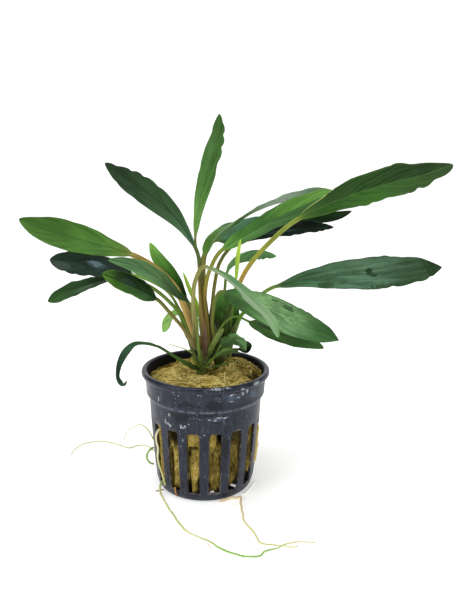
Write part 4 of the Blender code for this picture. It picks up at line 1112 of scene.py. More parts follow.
def leaf_group():
    """Makes the group that draws what all the leaves share: feathered veins, midrib, margin, streaks."""
    group, given, result = new_group("leaf_drawing", ("Mm", "Share"), ("Lines", "Slant", "Seed"), (
        "Along", "Grown", "Right", "Under", "Vein", "Feather", "Film", "Cloud", "Rib", "Margin", "Streak",
        "Height"))
    mm = xyz(group, given["Mm"])
    part = xyz(group, given["Share"])
    seed = given["Seed"]

    def noise_at(x, y, z, detail, rough):
        spot = add_node(group, "ShaderNodeCombineXYZ", {0: x, 1: y, 2: z}).outputs[0]
        return grain_of(group, spot, 1.0, detail, rough)

    edge = sums(group, "ABSOLUTE", part["X"])
    right = steps(group, mm["X"], -0.12, 0.12)
    under = steps(group, mm["Z"], -0.4, 0.0, 1.0, 0.0)
    key = sums(group, "MULTIPLY_ADD", right, 7.3, seed)
    cloud = noise_at(times(group, mm["X"], 0.14), times(group, mm["Y"], 0.11), seed, 2.0, 0.5)
    lines = times(group, sums(group, "POWER", edge, 1.2), given["Lines"])
    phase = sums(group, "SUBTRACT", lines, times(group, part["Y"], given["Slant"]))
    phase = sums(group, "MULTIPLY_ADD", cloud, 1.4, phase)
    vein = steps(group, sums(group, "PINGPONG", phase, 0.5), 0.0, 0.13, 1.0, 0.0)
    feather = noise_at(times(group, phase, 0.9), times(group, mm["Y"], 0.045), key, 6.0, 0.62)
    film = noise_at(times(group, mm["X"], 0.7), times(group, mm["Y"], 0.3), key, 8.0, 0.75)
    film = sums(group, "MULTIPLY_ADD", feather, 0.4, times(group, film, 0.6))
    barred = sums(group, "MULTIPLY_ADD", under, 3.1, times(group, part["X"], 2.4))
    streak = noise_at(barred, times(group, mm["Y"], 0.06), seed, 4.0, 0.65)
    blade_on = steps(group, part["Y"], 0.0, 0.05)
    rib = steps(group, sums(group, "ABSOLUTE", mm["X"]), 0.1, 0.42, 1.0, 0.0)
    relief = sums(group, "MULTIPLY_ADD", vein, -0.45, feather)
    patchy = times(group, blade_on, steps(group, film, 0.36, 0.56, 0.2, 1.0))
    wire(group, result, {
        "Along": part["Y"], "Grown": part["Z"], "Right": right, "Under": under,
        "Vein": times(group, vein, patchy), "Feather": feather, "Film": film, "Cloud": cloud,
        "Rib": times(group, rib, blade_on), "Streak": streak, "Height": times(group, relief, blade_on),
        "Margin": times(group, steps(group, edge, 0.88, 0.98), blade_on),
    })
    return group


leaf_drawing = leaf_group()


def tones(*tints):
    """Colours spread evenly over a run, base to tip."""
    return [(number / (len(tints) - 1), paint(*tint)) for number, tint in enumerate(tints)]


def leaf_skin(name, left, right, stalk, margin=None, rib=None, vein=None, under=None, patches=(), lines=4.0,
              slant=9.0, gloss=0.42, shine=0.07, seed=0.0, feather=0.25, vein_part=0.22, film=None):
    """A leaf's finish. left and right are the colours of its halves from base to tip, seen from
    above with the tip away, and stalk those of its stalk from foot to blade. patches are
    (share along, share across, share long, share wide, colour, strength, roughness) spots, some
    damp and some painted sheen or highlight."""
    left, right, stalk = tones(*left), tones(*right), tones(*stalk)
    middle = right[len(right) // 2][1]
    finish, tree, shader = new_finish(name, middle)
    share = stored(tree, "leaf_share")
    out = add_node(tree, "ShaderNodeGroup", {
        "Mm": stored(tree, "leaf_mm"), "Share": share, "Lines": lines, "Slant": slant, "Seed": seed},
        node_tree=leaf_drawing).outputs

    def shaded(colour, amount):
        shades = add_node(tree, "ShaderNodeCombineColor", {0: amount, 1: amount, 2: amount}).outputs[0]
        return over(tree, 1.0, colour, shades, "MULTIPLY")

    colour = over(tree, out["Right"], ramp_of(tree, out["Along"], left), ramp_of(tree, out["Along"], right))
    light = steps(tree, out["Feather"], 0.34, 0.66, 1.0 - feather, 1.0 + feather)
    light = sums(tree, "MULTIPLY_ADD", sums(tree, "SUBTRACT", out["Cloud"], 0.5), 0.5, light)
    colour = shaded(colour, light)
    if film:
        colour = over(tree, steps(tree, out["Film"], film[1], film[2], film[3], 0.0), colour,
                      paint(*film[0]))
    line_colour = paint(*vein) if vein else tuple(min(1.0, 1.9 * part) for part in middle[:3]) + (1.0,)
    colour = over(tree, times(tree, out["Vein"], vein_part), colour, line_colour)
    if under is None:
        below = over(tree, 0.5, colour, paint(128, 158, 118))
    else:
        below = shaded(ramp_of(tree, out["Along"], tones(*under)), light)
    colour = over(tree, out["Under"], colour, below)
    rough = sums(tree, "MULTIPLY_ADD", out["Feather"], 0.3, gloss - 0.15)
    spread = vector_sums(tree, "MULTIPLY", share, (8.0, 60.0, 1.0))
    for at, aside, part_long, part_wide, tint, strength, spot_rough in patches:
        size = (8.0 * part_wide, 60.0 * part_long, 40.0)
        spot = patch(tree, spread, (8.0 * aside, 60.0 * at, 1.0), size, 0.9, 2.4, 0.2)
        spot = times(tree, spot, strength)
        colour = over(tree, spot, colour, paint(*tint))
        rough = add_node(tree, "ShaderNodeMix", {0: spot, 2: rough, 3: spot_rough}, data_type="FLOAT").outputs[0]
    if margin:
        colour = over(tree, times(tree, out["Margin"], margin[3]), colour, paint(*margin[:3]))
    if rib:
        colour = over(tree, times(tree, out["Rib"], rib[3]), colour, paint(*rib[:3]))
    stalk_colour = ramp_of(tree, out["Grown"], stalk)
    stalk_colour = over(tree, steps(tree, out["Streak"], 0.5, 0.62, 0.0, 0.6), stalk_colour,
                        paint(82, 66, 34))
    stalk_colour = over(tree, steps(tree, out["Streak"], 0.46, 0.36, 0.0, 0.45), stalk_colour, stalk[-1][1])
    colour = over(tree, steps(tree, out["Along"], 0.0, 0.07), stalk_colour, colour)
    wire(tree, shader, {
        "Base Color": colour, "Roughness": rough, "Specular IOR Level": shine, "Subsurface Weight": 0.08,
        "Subsurface Radius": (0.6, 1.0, 0.3), "Subsurface Scale": 0.0005,
        "Normal": relief_on(tree, out["Height"], 0.4, 0.00012)})
    return finish


def leaf(node, slot_name, shape, **look):
    """Grows a leaf, gives it its finish, hides its solid and hangs it on the root body."""
    blade = grow_leaf(node, **shape)
    blade.data.materials.append(leaf_skin(f"{node}_skin", seed=float(shape["seed"]), **look))
    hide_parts(node)
    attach(blade, "root")


OLIVE_STALK = [(104, 96, 44), (132, 120, 60), (138, 126, 62), (124, 124, 56)]
GREEN_STALK = [(92, 112, 44), (100, 130, 50), (112, 144, 58)]
DARK_STALK = [(100, 86, 46), (104, 92, 50), (78, 80, 40)]

# Leaves of the middle: the tall bright one, the one that arches forward over the others, the two
# young leaves that are still rolled into lime spikes, and the bluish one at the back.
leaf("leaf_upright", "leaf_bright",
     dict(ruffle=0.05, wave=12.0, seed=3, stalk_full=0.62, foot=(2.0, 50.0),
          scallops=[(1, 0.5, 0.97, 0.7, 8.0), (-1, 0.5, 0.9, 0.4, 11.0)]),
     left=[(124, 150, 76), (112, 158, 80), (92, 136, 66), (76, 116, 56), (72, 111, 56), (74, 110, 56),
           (64, 102, 50)],
     right=[(112, 150, 72), (106, 154, 74), (86, 130, 62), (72, 111, 53), (68, 104, 50), (64, 100, 47),
            (58, 94, 44)],
     stalk=[(132, 104, 66), (166, 146, 86), (164, 144, 80), (146, 124, 60), (134, 134, 62)],
     margin=(104, 146, 72, 0.4), rib=(60, 96, 48, 0.35), vein=(108, 148, 86), slant=7.0)
# Its pale midrib is painted sheen.
leaf("leaf_front_arching", "leaf_filmed",
     dict(ruffle=0.05, wave=16.0, seed=5, cup=0.2,
          broad=((0.0, 1.0), (0.2, 1.25), (0.8, 1.35), (1.0, 1.35)),
          tip=(0.5, 0.55), nudges=[(16.0, 8.0, (-1.6, 3.0, 0.0))]),
     left=[(150, 150, 88), (98, 142, 84), (90, 138, 88), (116, 158, 104), (134, 170, 120), (130, 168, 118),
           (116, 158, 98)],
     right=[(143, 141, 75), (148, 172, 128), (150, 178, 139), (148, 177, 136), (145, 176, 133),
            (134, 176, 118)],
     stalk=[(104, 112, 50), (128, 130, 68), (148, 146, 86), (150, 150, 90), (143, 141, 78)],
     margin=(118, 150, 100, 0.4), rib=(170, 192, 158, 0.6), gloss=0.5, feather=0.15)
leaf("leaf_spike_right", "leaf_lime",
     dict(crown="side", ruffle=0.0, quilt=0.0, seed=6, tip=(1.0, 1.0),
          nudges=[(-0.1, 18.0, (0.0, -12.0, 1.6))], broad=((0.0, 0.9), (1.0, 1.0))),
     left=[(160, 204, 70), (178, 214, 76)], right=[(172, 212, 80), (190, 222, 86)],
     stalk=[(44, 62, 24), (62, 88, 32), (112, 150, 50)], lines=2.0, feather=0.15)
leaf("leaf_spike_left", "leaf_lime", dict(ruffle=0.0, quilt=0.0, seed=7),
     left=[(150, 196, 64), (172, 212, 74)], right=[(160, 206, 70), (182, 218, 80)],
     stalk=[(104, 122, 44), (144, 188, 62)], lines=2.0, feather=0.15)
leaf("leaf_back_small", "leaf_filmed",
     dict(crown="side", seed=8, wave=9.0, scallops=[(1, 0.4, 0.9, 0.7, 3.0)]),
     left=[(118, 162, 100), (108, 154, 96), (100, 146, 94), (108, 156, 98)],
     right=[(106, 150, 90), (100, 144, 86), (96, 140, 86), (104, 152, 94)], stalk=GREEN_STALK)

# Leaves of the left side: from bright green at the far end to almost black slate where the light
# slides over them. Their stalks cross low down and are tan, olive or lime.
leaf("leaf_upper_left", "leaf_deep",
     dict(ruffle=0.05, wave=10.0, seed=11, nudges=[(50.0, 18.0, (0.0, -5.5, 0.0))],
          scallops=[(1, 0.5, 0.97, 0.6, 9.0), (-1, 0.6, 0.95, 0.3, 11.0)]),
     left=[(66, 108, 76), (62, 94, 62), (56, 84, 52), (50, 72, 47), (46, 66, 44), (46, 66, 42)],
     right=[(62, 104, 72), (56, 90, 54), (50, 80, 44), (44, 67, 39), (38, 57, 34), (40, 60, 36)],
     stalk=[(96, 92, 44), (106, 100, 50), (100, 98, 48), (84, 104, 56)], rib=(36, 52, 34, 0.7),
     margin=(66, 96, 62, 0.3), vein=(74, 104, 72))
leaf("leaf_far_left", "leaf_bright", dict(ruffle=0.03, wave=17.0, seed=12, foot=(1.5, 44.0)),
     left=[(140, 150, 80), (100, 138, 62), (78, 122, 56), (77, 121, 50), (76, 118, 48), (78, 119, 49),
           (82, 124, 53)],
     right=[(140, 150, 80), (96, 136, 60), (80, 125, 53), (76, 119, 49), (73, 114, 48), (70, 109, 47),
            (66, 104, 43)],
     stalk=[(160, 122, 92), (184, 148, 92), (202, 170, 98), (188, 160, 84), (166, 148, 76)],
     margin=(104, 146, 66, 0.35), rib=(56, 92, 40, 0.55), vein=(58, 98, 40), lines=5.0, slant=11.0,
     feather=0.22)
# Its grey-blue patch near the tip is painted sheen.
leaf("leaf_left_dark_long", "leaf_deep",
     dict(ruffle=0.04, wave=14.0, seed=13, stalk_full=0.6,
          scallops=[(1, 0.5, 0.95, 0.5, 8.0), (-1, 0.4, 0.95, 0.5, 9.0)]),
     left=[(36, 50, 36), (36, 52, 38), (36, 52, 40), (40, 56, 44), (48, 64, 50)],
     right=[(32, 46, 30), (30, 46, 30), (28, 44, 30), (30, 46, 34), (34, 50, 36)], stalk=OLIVE_STALK,
     patches=[(0.85, -0.5, 0.12, 0.4, (76, 92, 88), 0.4, 0.3)], shine=0.04)
# Its bluish patches are painted sheen.
leaf("leaf_left_dark_sheen", "leaf_deep", dict(ruffle=0.04, wave=12.0, seed=14, stalk_full=0.6),
     left=[(34, 50, 38), (34, 52, 42), (36, 54, 46), (30, 46, 40), (24, 38, 30)],
     right=[(26, 42, 32), (28, 44, 36), (26, 42, 34), (18, 32, 22), (16, 28, 20)], stalk=GREEN_STALK,
     patches=[(0.7, -0.1, 0.2, 0.45, (62, 82, 82), 0.5, 0.3),
              (0.72, 0.05, 0.15, 0.26, (108, 132, 142), 0.45, 0.3),
              (0.68, -0.25, 0.06, 0.1, (120, 148, 160), 0.5, 0.3)], shine=0.04)
# Its right half, the upper one, is painted shade from the leaves above; its grey patch is painted sheen.
leaf("leaf_left_drooping", "leaf_deep",
     dict(ruffle=0.05, wave=12.0, seed=15, scallops=[(1, 0.3, 0.8, 0.6, 7.0)]),
     left=[(40, 60, 36), (58, 84, 56), (60, 90, 56), (58, 92, 48), (50, 84, 38)],
     right=[(18, 34, 16), (24, 42, 20), (38, 62, 34), (46, 76, 38), (44, 78, 34)], stalk=GREEN_STALK,
     patches=[(0.55, -0.4, 0.14, 0.3, (88, 114, 98), 0.5, 0.3)])
leaf("leaf_left_middle", "leaf_deep", dict(ruffle=0.05, wave=10.0, seed=16, stalk_full=0.8),
     left=[(48, 70, 34), (62, 88, 46), (92, 130, 82), (92, 134, 86), (88, 130, 80)],
     right=[(38, 58, 26), (70, 98, 56), (88, 122, 76), (80, 116, 74), (80, 118, 72)],
     stalk=OLIVE_STALK, margin=(140, 184, 92, 0.5), rib=(50, 80, 48, 0.5), vein=(128, 160, 124),
     vein_part=0.35)
# Its grey-teal patch is painted sheen.
leaf("leaf_left_lower", "leaf_deep",
     dict(ruffle=0.05, wave=11.0, seed=17, foot=(1.7, 26.0), stalk_full=0.9,
          nudges=[(22.0, 8.0, (2.6, 0.0, 0.0))],
          broad=((0.0, 1.0), (0.08, 1.5), (0.18, 1.5), (0.35, 1.2), (0.5, 1.0)),
          scallops=[(-1, 0.3, 0.9, 0.3, 6.0)]),
     left=[(46, 72, 34), (62, 98, 54), (58, 94, 46), (60, 98, 36), (92, 140, 50)],
     right=[(48, 74, 34), (46, 72, 36), (38, 60, 36), (42, 66, 30), (78, 122, 44)],
     stalk=[(104, 120, 52), (150, 132, 92), (140, 128, 74), (112, 120, 52)], margin=(120, 160, 66, 0.5),
     rib=(26, 40, 24, 0.6), patches=[(0.55, 0.2, 0.14, 0.35, (70, 92, 84), 0.35, 0.3)])
leaf("leaf_left_short", "leaf_bright",
     dict(ruffle=0.05, wave=9.0, seed=18, bites=[(-1, 0.5, 0.3, 1.0), (-1, 0.6, 0.2, 0.8)]),
     left=[(16, 30, 12), (32, 58, 20), (62, 104, 36), (88, 136, 56), (134, 186, 84)],
     right=[(14, 26, 10), (30, 54, 18), (64, 112, 38), (98, 144, 64), (136, 190, 84)], stalk=DARK_STALK)
leaf("leaf_left_back_small", "leaf_bright", dict(seed=19, wave=8.0),
     left=[(124, 164, 84), (134, 176, 94)], right=[(120, 160, 82), (130, 172, 90)], stalk=GREEN_STALK,
     under=[(132, 172, 92), (138, 178, 98)])
leaf("leaf_left_curled", "leaf_deep",
     dict(ruffle=0.02, seed=20, quilt=0.03, stalk_full=0.85, foot=(1.8, 16.0)),
     left=[(66, 104, 44), (52, 86, 56), (40, 66, 52), (50, 84, 60)],
     right=[(72, 112, 46), (58, 92, 62), (46, 74, 58), (58, 92, 66)],
     stalk=[(52, 76, 32), (66, 100, 42), (68, 106, 46), (62, 96, 46)],
     under=[(74, 108, 66), (84, 118, 92), (96, 128, 104), (110, 144, 116)])

# Leaves of the right side: the long bright one above, a dark pair under it, two filmed grey-green
# ones that are bare in places, and small leaves at the foot of the side shoot.
leaf("leaf_top_arching", "leaf_filmed",
     dict(ruffle=0.04, wave=15.0, seed=21, nudges=[(60.0, 14.0, (1.3, 0.0, 0.0))],
          broad=((0.0, 1.0), (0.03, 3.0), (0.12, 2.6), (0.25, 1.9), (0.4, 1.0))),
     left=[(84, 124, 46), (74, 122, 42), (76, 124, 50), (96, 134, 90), (120, 160, 84)],
     right=[(84, 124, 46), (66, 112, 38), (68, 114, 46), (90, 126, 84), (120, 160, 84)], stalk=OLIVE_STALK,
     margin=(118, 148, 64, 0.4),
     under=[(80, 122, 46), (76, 120, 44), (84, 124, 56), (136, 158, 128), (162, 182, 160), (112, 142, 114),
            (124, 154, 84)])
leaf("leaf_right_bright", "leaf_bright",
     dict(ruffle=0.04, wave=14.0, seed=22, nudges=[(35.0, 15.0, (-2.7, 0.0, 0.0))],
          broad=((0.0, 2.6), (0.06, 2.0), (0.2, 1.35), (0.4, 1.0))),
     left=[(100, 156, 64), (66, 114, 48), (58, 100, 42), (84, 132, 54), (94, 144, 58), (104, 148, 74)],
     right=[(100, 154, 64), (78, 122, 60), (66, 106, 54), (54, 94, 42), (50, 90, 38), (86, 130, 60)],
     stalk=[(112, 100, 46), (138, 122, 56), (160, 146, 64), (130, 144, 56)], rib=(54, 86, 44, 0.5),
     vein=(100, 140, 84), lines=5.0, slant=11.0)
# Its grey-blue patch is painted sheen.
leaf("leaf_right_dark_low", "leaf_deep",
     dict(ruffle=0.04, wave=13.0, seed=23, stalk_full=0.92, scallops=[(1, 0.5, 0.95, 0.5, 5.0)]),
     left=[(14, 24, 10), (5, 16, 7), (3, 14, 5), (3, 16, 6), (8, 24, 7)],
     right=[(14, 24, 10), (5, 18, 9), (4, 22, 12), (4, 24, 12), (8, 32, 10)],
     stalk=[(104, 100, 50), (128, 124, 62), (128, 130, 62), (116, 124, 58)],
     patches=[(0.45, 0.2, 0.2, 0.25, (50, 72, 70), 0.45, 0.3)], gloss=0.35)
leaf("leaf_right_dark_behind", "leaf_deep",
     dict(ruffle=0.04, wave=14.0, seed=24,
          nudges=[(66.0, 9.0, (-1.0, 0.0, -1.2))],
          broad=((0.0, 2.4), (0.05, 2.6), (0.2, 1.5), (0.4, 1.0), (0.7, 1.0), (0.9, 0.98))),
     left=[(104, 148, 96), (78, 120, 92), (40, 70, 48), (18, 40, 9), (16, 38, 6)],
     right=[(104, 148, 100), (72, 114, 94), (32, 60, 42), (14, 36, 7), (12, 32, 5)],
     stalk=[(84, 80, 40), (96, 96, 46), (124, 130, 56)], vein=(90, 124, 110), vein_part=0.12, shine=0.03)
leaf("leaf_right_large", "leaf_bright",
     dict(crown="side", wave=19.0, seed=25, quilt=0.14, tip=(0.8, 0.5), foot=(1.3, 24.0),
          nudges=[(-0.1, 8.0, (-0.4, 0.0, 0.4))], bites=[(-1, 0.84, 0.1, 9.0), (-1, 0.95, 0.3, 5.0)],
          scallops=[(1, 0.72, 0.99, 1.1, 6.2), (1, 0.4, 0.75, 0.5, 8.0), (-1, 0.6, 0.95, 0.4, 10.0)]),
     left=[(80, 108, 44), (46, 80, 30), (38, 68, 26), (36, 66, 24), (34, 60, 24), (34, 56, 24),
           (42, 66, 32)],
     right=[(78, 106, 42), (48, 84, 30), (46, 84, 28), (52, 92, 32), (50, 88, 30), (48, 78, 30),
            (42, 70, 28)],
     stalk=[(50, 70, 28), (44, 66, 26), (44, 68, 26), (60, 84, 32), (188, 150, 74), (156, 160, 62),
            (140, 152, 60), (134, 150, 66)],
     margin=(96, 134, 64, 0.3), rib=(74, 110, 54, 0.4), vein=(90, 130, 70), vein_part=0.3,
     slant=10.0, feather=0.2, patches=[(0.14, -0.95, 0.16, 0.1, (176, 196, 116), 0.7, 0.4)])
leaf("leaf_right_spreading", "leaf_filmed",
     dict(crown="side", ruffle=0.045, wave=20.0, seed=26, quilt=0.14, stalk_full=1.1, tip=(0.9, 0.9),
          scallops=[(1, 0.6, 0.97, 0.55, 7.0), (-1, 0.5, 0.9, 0.3, 8.0)]),
     left=[(68, 102, 62), (72, 108, 76), (82, 114, 86), (84, 114, 88), (62, 88, 64), (56, 84, 56)],
     right=[(68, 102, 62), (76, 118, 80), (84, 120, 92), (84, 116, 90), (62, 88, 62), (56, 84, 54)],
     stalk=[(96, 130, 44), (118, 160, 56), (122, 164, 64), (112, 144, 64)],
     vein=(48, 72, 48), vein_part=0.4, rib=(48, 76, 50, 0.7), margin=(56, 84, 52, 0.5), slant=3.0,
     film=((44, 74, 44), 0.4, 0.5, 0.6), gloss=0.55,
     patches=[(1.0, 0.0, 0.12, 1.6, (40, 62, 34), 0.95, 0.3),
              (0.57, -0.1, 0.022, 0.26, (30, 52, 32), 0.9, 0.25),
              (0.595, 0.12, 0.02, 0.12, (30, 52, 32), 0.8, 0.25),
              (0.3, 0.75, 0.05, 0.3, (44, 72, 44), 0.8, 0.25),
              (0.72, 0.95, 0.2, 0.22, (44, 70, 40), 0.8, 0.3)])
leaf("leaf_front_right_drooping", "leaf_filmed",
     dict(ruffle=0.04, wave=17.0, seed=27, quilt=0.12, tip=(0.95, 0.95),
          nudges=[(15.0, 7.0, (2.4, 1.5, 0.0))], scallops=[(-1, 0.3, 0.9, 0.25, 6.0)]),
     left=[(46, 78, 34), (72, 112, 58), (134, 176, 116), (124, 164, 110), (108, 148, 94), (54, 94, 44),
           (36, 72, 30)],
     right=[(44, 76, 34), (52, 86, 40), (76, 114, 62), (112, 152, 100), (110, 150, 100), (68, 112, 58),
            (48, 90, 40)],
     stalk=[(104, 104, 50), (118, 122, 56), (100, 120, 56)], vein=(54, 88, 50), vein_part=0.5,
     margin=(60, 92, 50, 0.5), slant=6.0, film=((66, 102, 56), 0.4, 0.54, 0.6), gloss=0.5,
     patches=[(0.56, -0.62, 0.055, 0.14, (40, 66, 38), 0.75, 0.3),
              (0.83, -0.45, 0.09, 0.22, (58, 94, 54), 0.7, 0.3),
              (0.44, -0.72, 0.03, 0.08, (44, 74, 42), 0.7, 0.3),
              (0.9, 0.35, 0.07, 0.2, (54, 88, 48), 0.6, 0.3)])
leaf("leaf_front_right_low", "leaf_deep",
     dict(ruffle=0.04, wave=14.0, seed=28, stalk_full=0.56, foot=(1.3, 20.0)),
     left=[(56, 88, 38), (34, 60, 24), (36, 64, 24), (42, 74, 30), (58, 98, 44)],
     right=[(60, 92, 40), (56, 88, 40), (50, 82, 34), (46, 80, 32), (56, 100, 42)],
     stalk=[(96, 108, 44), (118, 136, 54), (92, 118, 46), (72, 110, 42)], margin=(84, 120, 58, 0.5))
# Its three bright patches are painted highlights.
leaf("leaf_dark_broad", "leaf_deep",
     dict(crown="side", ruffle=0.06, wave=9.0, seed=29, broad=((0.0, 1.15), (0.5, 1.3), (1.0, 1.2))),
     left=[(66, 78, 32), (48, 74, 27), (58, 98, 38), (108, 160, 72)],
     right=[(60, 72, 30), (46, 74, 27), (62, 104, 40), (108, 162, 70)], stalk=GREEN_STALK,
     vein=(84, 122, 64), feather=0.4,
     patches=[(0.62, 0.1, 0.05, 0.12, (140, 176, 80), 0.8, 0.3),
              (0.5, -0.3, 0.06, 0.1, (100, 140, 70), 0.6, 0.3),
              (0.4, 0.4, 0.05, 0.08, (96, 134, 70), 0.6, 0.3)])
leaf("leaf_base_crumpled", "leaf_bright",
     dict(ruffle=0.2, wave=4.5, seed=31, cup=0.3, foot=(1.1, 8.0),
          broad=((0.0, 2.4), (0.15, 1.8), (0.4, 1.1), (1.0, 1.0))),
     left=[(58, 90, 36), (72, 110, 56), (104, 144, 88), (86, 126, 70)],
     right=[(44, 70, 32), (54, 86, 44), (64, 100, 54), (54, 86, 46)],
     stalk=[(104, 130, 62), (124, 156, 84), (120, 154, 80)],
     vein=(160, 190, 140), vein_part=0.6, feather=0.5)
leaf("leaf_base_dark", "leaf_deep", dict(crown="side", ruffle=0.08, wave=6.0, seed=32),
     left=[(40, 66, 34), (52, 82, 48), (58, 88, 52)], right=[(30, 52, 28), (26, 46, 26), (24, 42, 26)],
     stalk=DARK_STALK)
# Its bright margin is a painted highlight, and its darker right half is painted shade.
leaf("leaf_base_low", "leaf_deep", dict(ruffle=0.08, wave=6.0, seed=33, foot=(1.1, 6.0)),
     left=[(90, 118, 50), (100, 130, 62), (104, 134, 64)], right=[(56, 78, 34), (66, 88, 40), (60, 84, 38)],
     stalk=GREEN_STALK, margin=(130, 160, 84, 0.7))
leaf("leaf_base_thin", "leaf_deep",
     dict(ruffle=0.03, wave=6.0, seed=34, quilt=0.02, foot=(1.0, 6.0), broad=((0.0, 0.75), (1.0, 0.75))),
     left=[(84, 100, 44), (90, 112, 52)], right=[(60, 74, 32), (68, 86, 38)], stalk=GREEN_STALK)
leaf("leaf_base_stub", "leaf_bright",
     dict(ruffle=0.03, wave=6.0, seed=35, quilt=0.02, foot=(1.0, 4.0), stalk_full=0.6,
          broad=((0.0, 0.45), (1.0, 0.5))),
     left=[(120, 138, 54), (134, 154, 64)], right=[(110, 126, 50), (124, 142, 58)], stalk=GREEN_STALK)

# Roots: thin living roots that came out through the slots. Most are cream, two are green from the
# light, and they lie on what the pot stands on or hang against its wall. One dry bit is brown.
ROOT_LOW = 0.52
ROOT_AROUND = 12
ROOTS = [
    ("root_front_long", "root_green",
     [(-17, -13.2, 5.8), (-18.4, -14.4, 5), (-18.9, -15.4, 2.8), (-18.4, -16.8, 1),
      (-17.1, -19.5, ROOT_LOW), (-15.5, -23.5, ROOT_LOW), (-12.5, -29.5, ROOT_LOW),
      (-8.5, -37, ROOT_LOW), (-4.5, -43, ROOT_LOW),
      (0, -46.3, ROOT_LOW), (4.5, -49, ROOT_LOW), (9.8, -53.8, ROOT_LOW), (14, -55.8, ROOT_LOW),
      (18.5, -57.4, ROOT_LOW), (23, -56.8, ROOT_LOW), (25, -54.3, ROOT_LOW), (29, -52.6, ROOT_LOW),
      (33, -49.8, ROOT_LOW), (37, -48.3, ROOT_LOW), (45, -48.7, ROOT_LOW)], 0.95, 0.5,
     tones((120, 168, 66), (222, 216, 168), (200, 206, 136), (190, 202, 120), (226, 222, 176),
           (150, 190, 84), (146, 190, 84), (148, 190, 84), (222, 222, 170), (232, 228, 190))),
    ("root_front_twig", "root_pale", [(3.6, -49.8, 0.4), (4.6, -52, 0.4), (5.6, -54.7, 0.4)], 0.5, 0.4,
     tones((232, 216, 200), (236, 222, 208))),
    ("root_right_long", "root_pale",
     [(6.9, -21.9, 0.8), (9.2, -21.0, 1.0), (10.6, -19.6, 0.8), (12.8, -19.0, 1.1), (14.4, -19.0, 0.8),
      (16.0, -18.4, 1.0), (16.4, -22.5, 0.68), (17, -30, 0.62), (17.8, -36.2, ROOT_LOW),
      (20.9, -42, ROOT_LOW), (22.6, -46.5, ROOT_LOW),
      (23.6, -50, 1.0), (25.6, -52, 1.9), (28.5, -52.4, 2.0), (31.5, -52, 1.5), (34.9, -51.4, 0.5),
      (38, -50.9, 0.5)], 1.36, 0.42,
     tones((234, 214, 174), (240, 224, 188), (228, 218, 166), (206, 214, 134), (232, 226, 170))),
    ("root_right_pale", "root_pale", [(17.6, -15.4, 0.7), (20.8, -8.8, 0.5), (23, -3.6, 0.5)], 0.7, 0.4,
     tones((250, 242, 228), (252, 248, 240))),
    ("root_left_long", "root_pale",
     [(-18.3, 11.4, 5.4), (-20.6, 13.8, 3.4), (-24, 19, 1.2), (-28, 25, 0.5), (-32, 29.4, 0.5),
      (-37, 29.4, 0.5), (-39.5, 26.9, 0.5), (-44.3, 28.7, 0.5), (-50.3, 32.3, 0.5), (-55.2, 33.5, 0.5),
      (-61, 32.7, 0.5), (-64.4, 30.6, 0.5), (-67.5, 23.5, 0.5), (-67.6, 17.6, 0.5)], 0.8, 0.45,
     tones((206, 212, 150), (216, 220, 164), (200, 212, 140), (214, 222, 164))),
    ("root_pot_side", "root_pale",
     [(-18.7, -14.6, 30.5), (-20.0, -15.7, 28.4), (-20.2, -15.5, 25), (-19.4, -16, 22), (-19.7, -15.5, 18),
      (-19.2, -15.8, 14.5), (-18.1, -16.4, 11.5), (-17.1, -16.7, 8), (-16.4, -16.6, 4.6)], 1.0, 0.8,
     tones((232, 224, 186), (236, 230, 184), (214, 214, 146), (196, 204, 122))),
    ("root_arching", "root_pale",
     [(-22.7, -5.2, 20.2), (-24.9, -5.2, 24.4), (-28, -3, 26.4), (-32.7, 0, 24.4), (-36, 2, 21.2),
      (-38.3, 4, 15.3)], 0.7, 0.4, tones((190, 204, 120), (214, 222, 160), (226, 230, 184))),
    ("root_green_loop", "root_green",
     [(-22.7, -6.2, 17.6), (-24.5, -8, 16.8), (-25.4, -9, 15), (-25.3, -9, 13), (-24.2, -8.2, 10.9),
      (-22.4, -6.8, 9.6)], 1.1, 0.9, tones((150, 196, 108), (168, 210, 130), (186, 222, 156))),
    ("root_left_brown", "root_brown",
     [(-17.4, -12.8, 0.5), (-19.2, -12.9, 0.5), (-20.3, -13.4, 0.45), (-21.4, -13.8, 0.4)], 0.6, 0.6,
     tones((190, 160, 140), (170, 130, 104), (204, 170, 150))),
    ("root_orange_bit", "root_brown",
     [(-12.0, -18.4, 5.4), (-11.8, -19.2, 4.0), (-11.5, -19.0, 2.4), (-11.2, -18.9, 0.9)], 0.9, 0.5,
     tones((176, 130, 50), (196, 136, 60), (150, 84, 40))),
    ("runner_rim", "root_pale",
     [(-3.2, 1.2, 56), (-6, 5, 57.6), (-9, 9, 58.2), (-11, 12, 58), (-15, 16, 58), (-19.5, 20, 58)],
     0.7, 0.4, tones((150, 180, 80), (176, 196, 96))),
]


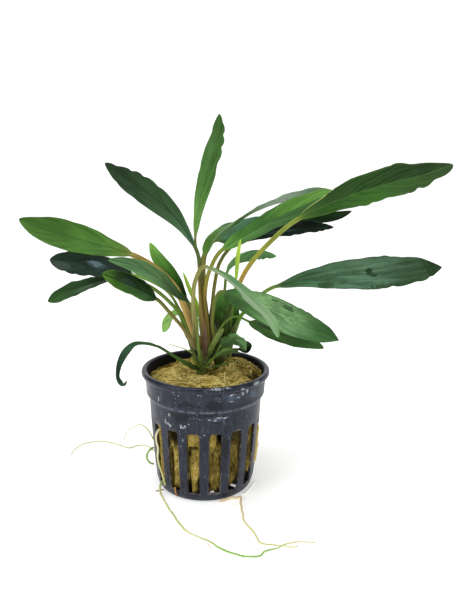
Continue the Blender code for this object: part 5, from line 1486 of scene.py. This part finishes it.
def root_skin(name, stops, seed):
    """A root's finish, coloured along its length, with fine rings and dirt."""
    finish, tree, shader = new_finish(name, stops[len(stops) // 2][1])
    part = xyz(tree, stored(tree, "root_run"))
    moved = sums(tree, "ADD", part["Y"], seed)
    line = add_node(tree, "ShaderNodeCombineXYZ", {0: part["Z"], 1: moved}).outputs[0]
    cloud = sums(tree, "SUBTRACT", grain_of(tree, line, 0.6, 4.0), 0.5)
    colour = ramp_of(tree, sums(tree, "MULTIPLY_ADD", cloud, 0.08, part["X"]), stops)
    dirt = steps(tree, grain_of(tree, line, 2.2, 3.0), 0.56, 0.74, 0.0, 0.3)
    colour = over(tree, dirt, colour, paint(160, 138, 92))
    rings = relief_on(tree, grain_of(tree, line, 3.0, 3.0), 0.5, 0.00008)
    wire(tree, shader, {"Base Color": colour, "Roughness": 0.55, "Subsurface Weight": 0.2,
                        "Subsurface Scale": 0.0006, "Normal": rings})
    return finish


for number, (node, slot_name, route, thick, thin, stops) in enumerate(ROOTS):
    route = np.array(route, float)
    far = run_of(route)
    count = max(24, int(far[-1] / 0.5))
    reach = np.linspace(0.0, far[-1], count)
    points = ease(far, route, reach)
    share = reach / far[-1]
    kink = np.stack([reach, np.full(count, 3.0 * number)], axis=1)
    inside = np.clip(share * 8.0, 0.0, 1.0) * np.clip((1.0 - share) * 8.0, 0.0, 1.0)
    sideways = np.cross(unit_rows(np.gradient(points, axis=0)), (0.0, 0.0, 1.0))
    points = points + sideways * (swirl(kink, 5.0, 60 + number) * 0.14 * inside)[:, None]
    points[:, 1] = np.maximum(points[:, 1], cad_box[0][1] / MM + 0.4)
    tangent, up, side = carried_frames(points, (0.01, 0.02, 1.0))
    radius = (thick + (thin - thick) * share) / 2.0 * 0.92
    radius = radius * (1.0 + 0.12 * swirl(kink, 2.4, 80 + number))
    radius = np.minimum(radius, (thick + (thin - thick) * share) / 2.0)
    radius[0] = 0.0
    radius[-1] = 0.0
    radius[-2] *= 0.6
    angle = np.linspace(0.0, 2.0 * math.pi, ROOT_AROUND, endpoint=False)
    rows = tube(points, side, up, angle, radius[:, None])
    run_map = np.stack(np.broadcast_arrays(share[:, None], reach[:, None], np.sin(angle)[None, :]), axis=2)
    root = wrap(f"{node}_skin", rows, {"root_run": run_map})
    root.data.materials.append(root_skin(f"{node}_finish", stops, 7.0 * number))
    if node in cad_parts:
        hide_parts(node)
    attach(root, "root")

bpy.context.view_layer.update()
